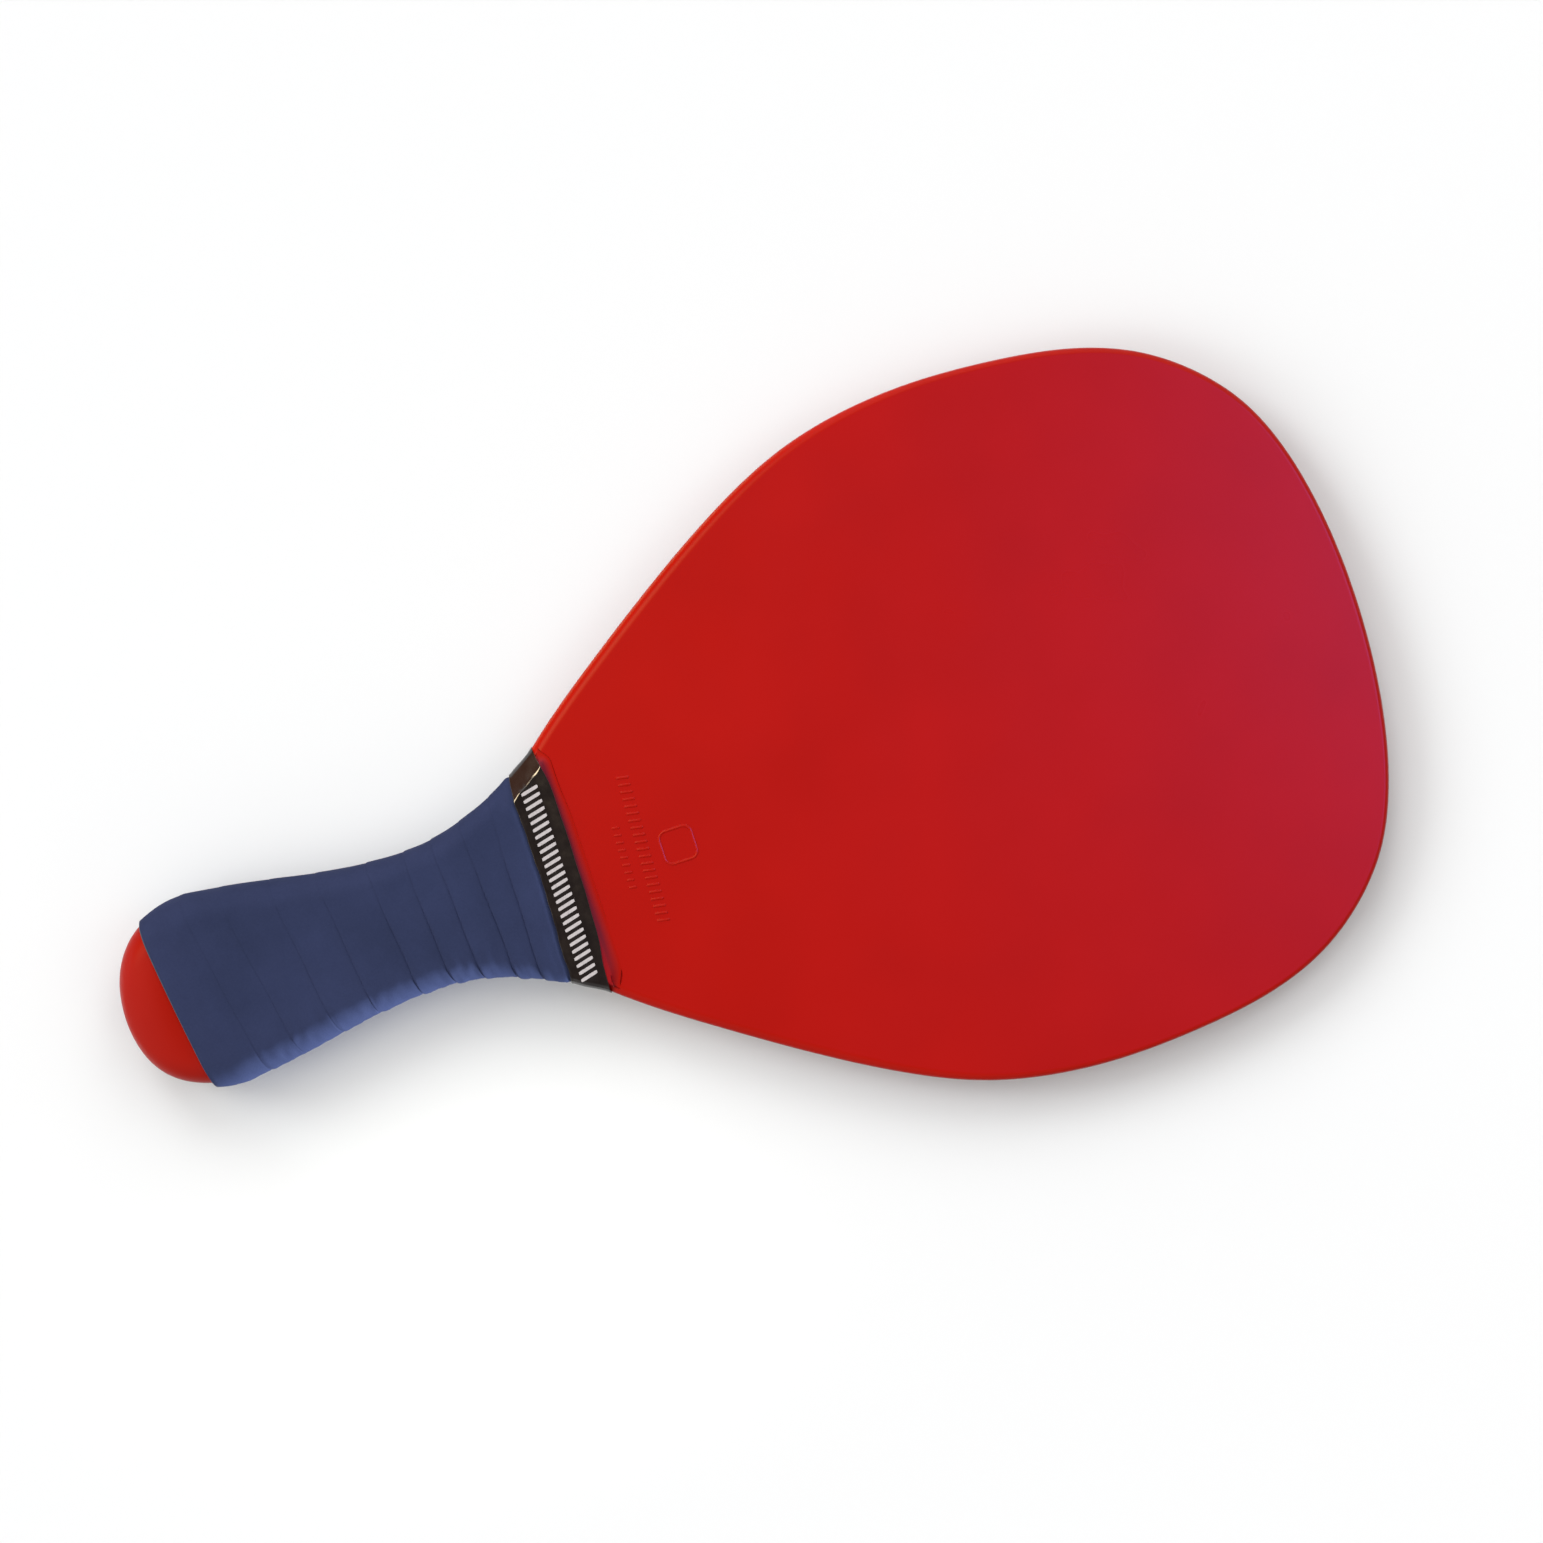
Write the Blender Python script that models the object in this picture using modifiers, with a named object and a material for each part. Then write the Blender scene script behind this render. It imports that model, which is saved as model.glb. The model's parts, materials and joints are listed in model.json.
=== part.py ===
"""Beach tennis racket: a moulded plastic bat with a built-up handle.

The blade and its tang are one flat moulding. Two hollow half shells, the
handle scales, are let into the neck and close round the tang, three dowels
key them to it, and a butt cap slips over their ends. A cushioned grip tape is
wound over the handle, and a finishing band holds its end at the neck.

The racket lies on the XY plane: +X runs from the butt to the tip of the
blade, +Z out of the front face. All lengths below are in millimetres, and
stations are distances from the butt end along the axis.
"""
import math

import bmesh
import bpy
import numpy as np
from mathutils import Vector

# ---------------------------------------------------------------- dimensions
MM = 0.001
LENGTH = 420.0            # butt end to blade tip
HALF_DEPTH = 11.2         # half the thickness over the grip at its fattest
GAP = 0.3                 # assembly clearance between neighbouring pieces

BLADE_THICK = 6.4
RIM_RADIUS = 2.1          # rounding of the blade's edge, front and back
# half width of the moulding, neck to tip
BLADE_STATIONS = [(128.0, 26.3), (139.0, 31.7), (148.0, 38.3), (156.0, 45.0),
                  (181.0, 63.5), (207.0, 81.0), (232.0, 96.0), (258.0, 107.8),
                  (283.0, 113.5), (304.0, 115.0), (330.0, 113.7),
                  (355.0, 109.8), (375.0, 102.5), (392.0, 90.3),
                  (404.0, 75.8), (412.0, 58.0), (417.5, 34.3)]

TANG_THICK = 5.0
TANG_HALF_WIDTH = 13.0
TANG_END = 24.0           # station of the tang's end, inside the butt
TANG_CORNER = 6.0
SEAT_END = 157.8          # the seats for the scales end here, on the blade

# the handle's body, under the grip: (station, half width, half thickness)
CORE_STATIONS = [(31.0, 30.0, 9.0), (50.0, 27.4, 8.8), (70.0, 23.7, 8.3),
                 (95.0, 20.9, 7.7), (112.0, 21.9, 7.1), (126.0, 25.9, 6.4),
                 (139.0, 31.9, 5.8), (148.0, 38.4, 5.4), (156.0, 45.0, 5.2),
                 (160.0, 48.0, 5.1)]
SIDE_ROUND = [(0.0, 9.5), (50.0, 9.0), (95.0, 8.0), (126.0, 7.0),
              (140.0, 6.0), (160.0, 5.5)]   # depth of the rounded sides
SIDE_POWER = 2.3          # fuller than an ellipse
DOME_LENGTH = 28.0        # the butt's outline, seen from the front
DOME_DEPTH = 17.0         # and from the side
DOME_POWER = 2.2

SCALE_INSET = 3.2         # the scales stop short of the blade's rim
SCALE_END_CORNER = 5.0
RAMP_START = 153.7        # the scales slope down onto the blade from here
RAMP_FOOT = 3.75          # height of the ramp's foot over the mid plane
SHELL_WALL = 3.0
SPIGOT_END = 10.0
CAP_EDGE = 26.0
CAP_WALL = 2.5

PIN_STATIONS = (46.0, 82.0, 118.0)
PIN_RADIUS = 2.5
PIN_HALF_LENGTH = 4.3
BOSS_RADIUS = 5.6
RIB_STATIONS = (64.0, 100.0)
RIB_THICK = 2.4

GRIP_START = 17.5         # on the axis; the edge follows the winding's slant
GRIP_SLANT = 0.105
GRIP_END = 148.4          # under the band
GRIP_THICK = 1.9
GRIP_EDGE = 1.0           # thickness at the butt edge, which is stretched thin
GRIP_SWELL = 12.0         # and the length over which it grows to the full one
GRIP_PRESSED = 0.9        # thickness where the band presses it
BAND_START = 141.6
BAND_END = 153.9
BAND_THICK = 0.6

RED = (0.52, 0.012, 0.010, 1.0)
RED_CAP = (0.50, 0.014, 0.011, 1.0)
BLUE = (0.045, 0.060, 0.130, 1.0)
BLACK = (0.012, 0.010, 0.011, 1.0)
NATURAL = (0.72, 0.70, 0.62, 1.0)


# ------------------------------------------------------------------- curves
def second_derivatives(t, y):
    """Natural cubic spline through the points (t, y)."""
    n = len(t)
    a = np.zeros((n, n))
    r = np.zeros(n)
    a[0, 0] = a[-1, -1] = 1.0
    for i in range(1, n - 1):
        before, after = t[i] - t[i - 1], t[i + 1] - t[i]
        a[i, i - 1], a[i, i], a[i, i + 1] = before, 2 * (before + after), after
        r[i] = 6 * ((y[i + 1] - y[i]) / after - (y[i] - y[i - 1]) / before)
    return np.linalg.solve(a, r)


class Spline:
    def __init__(self, points):
        self.t = np.array([p[0] for p in points], float)
        self.y = np.array([p[1] for p in points], float)
        self.m = second_derivatives(self.t, self.y)

    def __call__(self, x):
        t, y, m = self.t, self.y, self.m
        i = int(np.clip(np.searchsorted(t, x) - 1, 0, len(t) - 2))
        h = t[i + 1] - t[i]
        a, b = (t[i + 1] - x) / h, (x - t[i]) / h
        return float(a * y[i] + b * y[i + 1]
                     + ((a ** 3 - a) * m[i] + (b ** 3 - b) * m[i + 1]) * h * h / 6)


core_width_curve = Spline([(s, w) for s, w, h in CORE_STATIONS])
core_depth_curve = Spline([(s, h) for s, w, h in CORE_STATIONS])
side_curve = Spline(SIDE_ROUND)


def dome(s, length):
    """Rises from 0 at the butt end to 1 at the given length."""
    if s >= length:
        return 1.0
    return (1 - (1 - s / length) ** DOME_POWER) ** (1 / DOME_POWER)


def core_width(s):
    if s < CORE_STATIONS[0][0]:
        return CORE_STATIONS[0][1] * dome(s, DOME_LENGTH)
    return core_width_curve(s)


def core_depth(s):
    if s < CORE_STATIONS[0][0]:
        return CORE_STATIONS[0][2] * dome(s, DOME_DEPTH)
    return core_depth_curve(s)


def section(s, width, depth, side=None, corner=6, flat=3, base=0.0):
    """A closed ring of points round the handle at station s: flat faces and
    rounded sides, which may stand on an upright wall of height base. It runs
    from the front's middle over +Y to the back."""
    side = min(side if side else side_curve(s), width * 0.92)
    quarter = [((width - side) * i / flat, depth) for i in range(flat)]
    steps = corner - 1 if base else corner
    for i in range(steps + 1):
        angle = 0.5 * math.pi * (1 - i / steps)
        quarter.append((width - side + side * abs(math.cos(angle)) ** (2 / SIDE_POWER),
                        base + (depth - base) * abs(math.sin(angle)) ** (2 / SIDE_POWER)))
    if base:
        quarter[-1] = (width, base)
        quarter.append((width, 0.0))
    else:
        quarter[-1] = (width, 0.0)
    ring = list(quarter)
    ring += [(y, -z) for y, z in reversed(quarter[:-1])]
    ring += [(-y, -z) for y, z in quarter[1:]]
    ring += [(-y, z) for y, z in reversed(quarter[1:-1])]
    return [Vector((s, y, z)) for y, z in ring]


def stations(start, end, step):
    count = max(1, round((end - start) / step))
    return [start + (end - start) * i / count for i in range(count + 1)]


# ------------------------------------------------------------- scene helpers
def clear_scene():
    for obj in list(bpy.data.objects):
        bpy.data.objects.remove(obj, do_unlink=True)


def new_collection(name):
    coll = bpy.data.collections.new(name)
    bpy.context.scene.collection.children.link(coll)
    return coll


def material(name, colour, roughness, metallic=0.0):
    mat = bpy.data.materials.new(name)
    mat.use_nodes = True
    shader = mat.node_tree.nodes["Principled BSDF"]
    shader.inputs["Base Color"].default_value = colour
    shader.inputs["Roughness"].default_value = roughness
    shader.inputs["Metallic"].default_value = metallic
    mat.diffuse_color = colour
    return mat


def add_object(name, bm, coll, parent, mat=None):
    """Finish a mesh given in millimetres from the butt end, on the axis."""
    bmesh.ops.scale(bm, vec=(MM, MM, MM), verts=bm.verts)
    bmesh.ops.recalc_face_normals(bm, faces=bm.faces)
    mesh = bpy.data.meshes.new(name)
    bm.to_mesh(mesh)
    bm.free()
    obj = bpy.data.objects.new(name, mesh)
    coll.objects.link(obj)
    obj.parent = parent
    if mat:
        mesh.materials.append(mat)
        mesh.shade_smooth()
        mesh.set_sharp_from_angle(angle=math.radians(40))
    else:
        obj.display_type = "WIRE"
        obj.hide_render = True
    return obj


def boolean(obj, cutter, operation="DIFFERENCE"):
    mod = obj.modifiers.new(cutter.name, "BOOLEAN")
    mod.operation = operation
    mod.solver = "EXACT"
    mod.object = cutter
    return mod


# -------------------------------------------------------------- mesh builders
def loft(rings, closed_tube=False):
    """Skin a list of rings. A solid gets its end caps, a tube joins its last
    ring to its first."""
    bm = bmesh.new()
    rows = [[bm.verts.new(p) for p in ring] for ring in rings]
    pairs = list(zip(rows, rows[1:]))
    if closed_tube:
        pairs.append((rows[-1], rows[0]))
    for one, two in pairs:
        n = max(len(one), len(two))
        if len(one) == 1 or len(two) == 1:
            tip, ring = (one[0], two) if len(one) == 1 else (two[0], one)
            for i in range(n):
                bm.faces.new((tip, ring[i], ring[(i + 1) % n]))
            continue
        for i in range(n):
            j = (i + 1) % n
            bm.faces.new((one[i], one[j], two[j], two[i]))
    if not closed_tube:
        for row in (rows[0], rows[-1]):
            if len(row) > 2:
                bm.faces.new(row)
    return bm


def prism(outline, low, high):
    """A flat outline with straight sides between two heights."""
    bm = bmesh.new()
    face = bm.faces.new([bm.verts.new((x, y, low)) for x, y in outline])
    grown = bmesh.ops.extrude_face_region(bm, geom=[face])
    top = [v for v in grown["geom"] if isinstance(v, bmesh.types.BMVert)]
    bmesh.ops.translate(bm, verts=top, vec=(0, 0, high - low))
    return bm


def block(low, high):
    bm = bmesh.new()
    bmesh.ops.create_cube(bm, size=1.0)
    size = [b - a for a, b in zip(low, high)]
    centre = [(a + b) / 2 for a, b in zip(low, high)]
    bmesh.ops.scale(bm, vec=size, verts=bm.verts)
    bmesh.ops.translate(bm, verts=bm.verts, vec=centre)
    return bm


def cylinder(x, y, low, high, radius, sides=24):
    bm = bmesh.new()
    bmesh.ops.create_cone(bm, cap_ends=True, segments=sides, radius1=radius,
                          radius2=radius, depth=high - low)
    bmesh.ops.translate(bm, verts=bm.verts, vec=(x, y, (low + high) / 2))
    return bm


def arc(cx, cy, radius, start, end, count):
    return [(cx + radius * math.cos(math.radians(start + (end - start) * i / count)),
             cy + radius * math.sin(math.radians(start + (end - start) * i / count)))
            for i in range(count + 1)]


# ------------------------------------------------------------------ outlines
def blade_side():
    """One side of the moulding from the shoulder at the neck to the tip: a
    smooth curve through the stations, mirrored past the tip so that it meets
    the axis square."""
    half = [Vector(p) for p in BLADE_STATIONS] + [Vector((LENGTH, 0.0))]
    path = half + [Vector((p.x, -p.y)) for p in reversed(half[:-1])]
    t = [0.0]
    for a, b in zip(path, path[1:]):
        t.append(t[-1] + (b - a).length)
    sx = Spline([(k, p.x) for k, p in zip(t, path)])
    sy = Spline([(k, p.y) for k, p in zip(t, path)])
    tip = t[len(half) - 1]
    count = 84
    return [(sx(tip * i / count), sy(tip * i / count)) for i in range(count)]


def tang_side(grow=0.0):
    """One side of the tang from its end to the shoulder: straight, then a
    hollow fillet up to the neck's full width."""
    w = TANG_HALF_WIDTH + grow
    r = TANG_CORNER + grow
    end = TANG_END - grow
    fillet = 10.0 - grow
    shoulder = BLADE_STATIONS[0][0] - grow
    side = arc(end + r, w - r, r, 180, 90, 5)
    side += arc(shoulder - fillet, w + fillet, fillet, 270, 360, 7)
    return side


def mirrored(side):
    return side + [(x, -y) for x, y in reversed(side) if abs(y) > 1e-6]


def body_outline():
    return mirrored(tang_side() + blade_side() + [(LENGTH, 0.0)])


def scale_width(s):
    """The scales reach the handle's full width, and draw in at the neck so
    that the blade's rim stays clear beside them."""
    blend = min(max((s - 128.0) / 12.0, 0.0), 1.0)
    width = core_width(s) - SCALE_INSET * (3 * blend ** 2 - 2 * blend ** 3)
    into = s - (SEAT_END - GAP - SCALE_END_CORNER)
    if into > 0:
        r = SCALE_END_CORNER
        width -= r - math.sqrt(max(r * r - into * into, 0.0)) * 0.9 - r * 0.1
        width -= into * 0.55
    return width


def scale_depth(s):
    if s <= RAMP_START:
        return core_depth(s)
    t = (s - RAMP_START) / (SEAT_END - GAP - RAMP_START)
    top = core_depth(RAMP_START)
    return top + (RAMP_FOOT - top) * (3 * t * t - 2 * t ** 3) ** 0.85


def seat_outline():
    """Where the front and back of the moulding are let down for the scales."""
    end = SEAT_END - GAP
    rows = [s for s in stations(132.0, end - SCALE_END_CORNER, 2.6)]
    rows += stations(end - SCALE_END_CORNER, end, 1.0)[1:]
    side = [(TANG_END - 6.0, 46.0), (122.0, 46.0), (128.5, core_width(128.5) + 1.5)]
    side += [(s + (GAP if s > end - SCALE_END_CORNER else 0.0),
              scale_width(s) + GAP) for s in rows]
    return mirrored(side)


# -------------------------------------------------------------------- pieces
def make_blade(coll, cutters, parent, mat):
    curve = bpy.data.curves.new("racket_blade_outline", "CURVE")
    curve.dimensions = "2D"
    curve.fill_mode = "BOTH"
    curve.extrude = BLADE_THICK / 2 * MM
    outline = body_outline()
    spline = curve.splines.new("POLY")
    spline.points.add(len(outline) - 1)
    for point, (x, y) in zip(spline.points, outline):
        point.co = (x * MM, y * MM, 0.0, 1.0)
    spline.use_cyclic_u = True
    flat = bpy.data.objects.new("racket_blade_outline", curve)
    cutters.objects.link(flat)
    graph = bpy.context.evaluated_depsgraph_get()
    mesh = bpy.data.meshes.new_from_object(flat.evaluated_get(graph))
    bpy.data.objects.remove(flat, do_unlink=True)
    bm = bmesh.new()
    bm.from_mesh(mesh)
    bmesh.ops.remove_doubles(bm, verts=bm.verts, dist=0.00002)
    bmesh.ops.dissolve_limit(bm, angle_limit=math.radians(0.5),
                             verts=bm.verts, edges=[e for e in bm.edges if e.is_manifold
                                                    and e.calc_face_angle(0) < 0.001])
    bmesh.ops.recalc_face_normals(bm, faces=bm.faces)
    bm.to_mesh(mesh)
    bm.free()
    mesh.name = "racket_blade"
    obj = bpy.data.objects.new("racket_blade", mesh)
    coll.objects.link(obj)
    obj.parent = parent
    mesh.materials.clear()
    mesh.materials.append(mat)
    mesh.shade_smooth()
    mesh.set_sharp_from_angle(angle=math.radians(40))

    rim = obj.modifiers.new("rounded_rim", "BEVEL")
    rim.width = RIM_RADIUS * MM
    rim.segments = 4
    rim.limit_method = "ANGLE"
    rim.angle_limit = math.radians(60)
    rim.use_clamp_overlap = False

    front = add_object("cut_seat_front", prism(seat_outline(), TANG_THICK / 2, 9.0),
                       cutters, parent)
    back = add_object("cut_seat_back", prism(seat_outline(), -9.0, -TANG_THICK / 2),
                      cutters, parent)
    boolean(obj, front)
    boolean(obj, back)
    for i, s in enumerate(PIN_STATIONS, 1):
        hole = add_object("cut_tang_hole_%d" % i,
                          cylinder(s, 0, -9.0, 9.0, PIN_RADIUS + GAP), cutters, parent)
        boolean(obj, hole)
    return obj


def scale_rings():
    rings = []
    inset = CAP_WALL + GAP
    for s in stations(SPIGOT_END, CAP_EDGE, 4.0):
        rings.append(section(s, core_width(s) - inset, core_depth(s) - inset,
                             side_curve(s) - inset * 0.6))
    for s in stations(CAP_EDGE, 146.0, 6.0):
        seat = min(max((s - 128.0) / 8.0, 0.0), 1.0) * (TANG_THICK / 2 + GAP)
        rings.append(section(s, scale_width(s), core_depth(s), base=seat))
    for s in stations(149.0, RAMP_START, 1.7):
        rings.append(section(s, scale_width(s), core_depth(s), 4.5,
                             base=TANG_THICK / 2 + GAP))
    for s in stations(RAMP_START, SEAT_END - GAP, 0.95)[1:]:
        rings.append(section(s, scale_width(s), scale_depth(s), 4.0,
                             base=TANG_THICK / 2 + GAP))
    return rings


def make_scale(name, side, coll, cutters, parent, mat):
    """One half shell. side is +1 for the front and -1 for the back."""
    tag = "front" if side > 0 else "back"
    obj = add_object(name, loft(scale_rings()), coll, parent, mat)

    def slab(a, b):
        return (min(side * a, side * b), max(side * a, side * b))

    # the other half, and the room for the tang and the neck
    low, high = slab(GAP / 2, -30.0)
    boolean(obj, add_object("cut_%s_half" % tag,
                            block((-5, -60, low), (170, 60, high)), cutters, parent))
    pocket = tang_side(GAP) + [(BLADE_STATIONS[0][0] - GAP, 60.0), (170.0, 60.0)]
    low, high = slab(-10.0, TANG_THICK / 2 + GAP)
    boolean(obj, add_object("cut_%s_tang" % tag, prism(mirrored(pocket), low, high),
                            cutters, parent))

    # the hollow, with its ribs and the bosses for the dowels left standing
    rings = [section(s, core_width(s) - SHELL_WALL, core_depth(s) - SHELL_WALL,
                     side_curve(s) - 2.0, corner=4)
             for s in stations(34.0, 121.0, 9.0)]
    hollow = add_object("cut_%s_hollow" % tag, loft(rings), cutters, parent)
    for i, s in enumerate(PIN_STATIONS, 1):
        boolean(hollow, add_object("keep_%s_boss_%d" % (tag, i),
                                   cylinder(s, 0, -20, 20, BOSS_RADIUS), cutters, parent))
    for i, s in enumerate(RIB_STATIONS, 1):
        boolean(hollow, add_object("keep_%s_rib_%d" % (tag, i),
                                   block((s - RIB_THICK / 2, -40, -20),
                                         (s + RIB_THICK / 2, 40, 20)), cutters, parent))
    boolean(obj, hollow)
    for i, s in enumerate(PIN_STATIONS, 1):
        low, high = slab(-1.0, PIN_HALF_LENGTH + GAP)
        boolean(obj, add_object("cut_%s_socket_%d" % (tag, i),
                                cylinder(s, 0, low, high, PIN_RADIUS + GAP),
                                cutters, parent))
    return obj


def make_cap(coll, parent, mat):
    outer = [[Vector((0.0, 0.0, 0.0))]]
    edge = CAP_EDGE - GAP
    for i in range(1, 12):
        s = edge * (1 - math.cos(0.5 * math.pi * i / 11)) ** 1.15
        outer.append(section(s, core_width(s), core_depth(s)))
    inner = [section(s, core_width(s) - CAP_WALL, core_depth(s) - CAP_WALL,
                     side_curve(s) - CAP_WALL * 0.6)
             for s in (edge, 21.7, 17.7, 13.7, SPIGOT_END - GAP)]
    deep = SPIGOT_END - GAP
    width, depth = core_width(deep) - CAP_WALL, core_depth(deep) - CAP_WALL
    for i in range(1, 5):
        turn = 0.5 * math.pi * i / 5
        s = deep - (deep - CAP_WALL - 0.6) * math.sin(turn)
        inner.append(section(s, width * math.cos(turn) ** 0.7,
                             depth * math.cos(turn) ** 0.8,
                             (side_curve(s) - CAP_WALL * 0.6)))
    inner.append([Vector((CAP_WALL + 0.6, 0.0, 0.0))])
    return add_object("butt_cap", loft(outer + inner), coll, parent, mat)


def skin(s, offset, slant=0.0):
    """A ring at a given height over the handle's body. A slanted ring leans
    along the winding: it is nearer the butt on the +Y side."""
    ring = section(s, core_width(s) + offset, core_depth(s) + offset)
    if not slant:
        return ring
    leaned = []
    for p in ring:
        t = s - slant * p.y
        same = section(t, core_width(t) + offset, core_depth(t) + offset)
        q = same[len(leaned)]
        leaned.append(Vector((t, q.y, q.z)))
    return leaned


def grip_thick(s):
    t = min(max((s - GRIP_START) / GRIP_SWELL, 0.0), 1.0)
    return GRIP_EDGE + (GRIP_THICK - GRIP_EDGE) * (3 * t * t - 2 * t ** 3)


def make_grip(coll, parent, mat):
    outer, inner = [], []
    for s in (stations(GRIP_START, GRIP_START + 8.4, 2.8)
              + stations(GRIP_START + 13.0, BAND_START - 0.8, 5.6)):
        slant = GRIP_SLANT * max(0.0, 1 - (s - GRIP_START) / 34.0)
        outer.append(skin(s, GAP + grip_thick(s), slant))
        inner.append(skin(s, GAP, slant))
    for s in (BAND_START + 0.6, GRIP_END):
        outer.append(skin(s, GAP + GRIP_PRESSED))
        inner.append(skin(s, GAP))
    return add_object("grip_tape", loft(outer + inner[::-1], True), coll, parent, mat)


def make_band(coll, parent, mat):
    over_grip = GAP + GRIP_PRESSED + GAP
    rows = [(BAND_START, over_grip + 0.65), (BAND_START + 0.9, over_grip),
            (GRIP_END + 0.4, over_grip), (GRIP_END + 2.4, GAP), (BAND_END, GAP)]
    outer = [skin(s, offset + BAND_THICK) for s, offset in rows]
    inner = [skin(s, offset) for s, offset in rows]
    return add_object("finishing_band", loft(outer + inner[::-1], True),
                      coll, parent, mat)


def make_pins(coll, parent, mat):
    for i, s in enumerate(PIN_STATIONS, 1):
        pin = add_object("tang_pin_%d" % i,
                         cylinder(0, 0, -PIN_HALF_LENGTH, PIN_HALF_LENGTH, PIN_RADIUS),
                         coll, parent, mat)
        pin.location = (s * MM, 0, 0)
        edge = pin.modifiers.new("chamfer", "BEVEL")
        edge.width = 0.4 * MM
        edge.segments = 1
        edge.limit_method = "ANGLE"
        edge.angle_limit = math.radians(60)


def main():
    clear_scene()
    parts = new_collection("beach_tennis_racket")
    cutters = new_collection("cutters")
    axis = bpy.data.objects.new("racket_axis", None)
    axis.empty_display_size = 0.03
    axis.location = (-LENGTH / 2 * MM, 0.0, HALF_DEPTH * MM)
    parts.objects.link(axis)

    red = material("moulded_plastic", RED, 0.36)
    cap_red = material("cap_plastic", RED_CAP, 0.34)
    pin_mat = material("dowel_plastic", NATURAL, 0.5)
    blue = material("grip_foam_tape", BLUE, 0.62)
    black = material("band_film", BLACK, 0.18)

    make_blade(parts, cutters, axis, red)
    make_scale("handle_scale_front", +1, parts, cutters, axis, red)
    make_scale("handle_scale_back", -1, parts, cutters, axis, red)
    make_cap(parts, axis, cap_red)
    make_pins(parts, axis, pin_mat)
    make_grip(parts, axis, blue)
    make_band(parts, axis, black)


main()
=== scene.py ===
"""Looks of the beach tennis racket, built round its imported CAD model.

Everything is laid out as in the CAD: stations s run in millimetres from the
butt end along the axis, y across it and z up from the mid plane of the blade.
place() turns them into the frame's metres.
"""

import json
import math

import bmesh
import bpy
import numpy as np
from mathutils import Matrix, Vector

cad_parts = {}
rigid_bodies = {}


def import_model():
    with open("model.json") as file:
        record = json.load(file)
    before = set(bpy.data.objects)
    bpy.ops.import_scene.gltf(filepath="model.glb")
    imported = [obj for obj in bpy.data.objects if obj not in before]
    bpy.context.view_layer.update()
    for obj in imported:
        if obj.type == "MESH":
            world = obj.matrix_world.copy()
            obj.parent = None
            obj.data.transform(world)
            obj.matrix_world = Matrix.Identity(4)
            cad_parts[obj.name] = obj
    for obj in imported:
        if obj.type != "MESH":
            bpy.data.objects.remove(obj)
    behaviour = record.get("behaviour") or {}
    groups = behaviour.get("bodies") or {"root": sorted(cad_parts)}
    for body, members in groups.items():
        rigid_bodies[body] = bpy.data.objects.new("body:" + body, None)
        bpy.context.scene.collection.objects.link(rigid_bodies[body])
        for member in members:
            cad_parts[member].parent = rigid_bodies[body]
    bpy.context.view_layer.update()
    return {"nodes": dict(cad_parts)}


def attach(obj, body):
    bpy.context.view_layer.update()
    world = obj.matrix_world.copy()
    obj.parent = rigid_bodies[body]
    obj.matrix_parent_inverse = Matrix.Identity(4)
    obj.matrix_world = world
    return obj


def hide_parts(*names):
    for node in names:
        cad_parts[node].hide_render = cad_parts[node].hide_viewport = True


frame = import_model()

# ---------------------------------------------------------------- dimensions
LENGTH = 420.0
HALF_DEPTH = 11.2
BLADE_HALF = 3.2
TANG_HALF = 2.5
BLADE_STATIONS = [(128.0, 26.3), (139.0, 31.7), (148.0, 38.3), (156.0, 45.0),
                  (181.0, 63.5), (207.0, 81.0), (232.0, 96.0), (258.0, 107.8),
                  (283.0, 113.5), (304.0, 115.0), (330.0, 113.7),
                  (355.0, 109.8), (375.0, 102.5), (392.0, 90.3),
                  (404.0, 75.8), (412.0, 58.0), (417.5, 34.3)]
CORE_STATIONS = [(31.0, 30.0, 9.0), (50.0, 27.4, 8.8), (70.0, 23.7, 8.3),
                 (95.0, 20.9, 7.7), (112.0, 21.9, 7.1), (126.0, 25.9, 6.4),
                 (139.0, 31.9, 5.8), (148.0, 38.4, 5.4), (156.0, 45.0, 5.2),
                 (160.0, 48.0, 5.1)]
SIDE_ROUND = [(0.0, 9.5), (50.0, 9.0), (95.0, 8.0), (126.0, 7.0),
              (140.0, 6.0), (160.0, 5.5)]
DOME_LENGTH, DOME_DEPTH, DOME_POWER = 28.0, 17.0, 2.2
CAP_EDGE, CAP_WALL, SPIGOT_END = 26.0, 2.5, 10.0
SEAT_END = 157.75
HALF_PI = 0.5 * math.pi


# ------------------------------------------------------------------- curves
def second_derivatives(t, y):
    n = len(t)
    a = np.zeros((n, n))
    r = np.zeros(n)
    a[0, 0] = a[-1, -1] = 1.0
    for i in range(1, n - 1):
        before, after = t[i] - t[i - 1], t[i + 1] - t[i]
        a[i, i - 1], a[i, i], a[i, i + 1] = before, 2 * (before + after), after
        r[i] = 6 * ((y[i + 1] - y[i]) / after - (y[i] - y[i - 1]) / before)
    return np.linalg.solve(a, r)


class Spline:
    """Natural cubic spline, for numbers and arrays."""

    def __init__(self, points):
        self.t = np.array([p[0] for p in points], float)
        self.y = np.array([p[1] for p in points], float)
        self.m = second_derivatives(self.t, self.y)

    def __call__(self, x):
        t, y, m = self.t, self.y, self.m
        x = np.asarray(x, float)
        i = np.clip(np.searchsorted(t, x) - 1, 0, len(t) - 2)
        h = t[i + 1] - t[i]
        a, b = (t[i + 1] - x) / h, (x - t[i]) / h
        return (a * y[i] + b * y[i + 1]
                + ((a ** 3 - a) * m[i] + (b ** 3 - b) * m[i + 1]) * h * h / 6)


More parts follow.
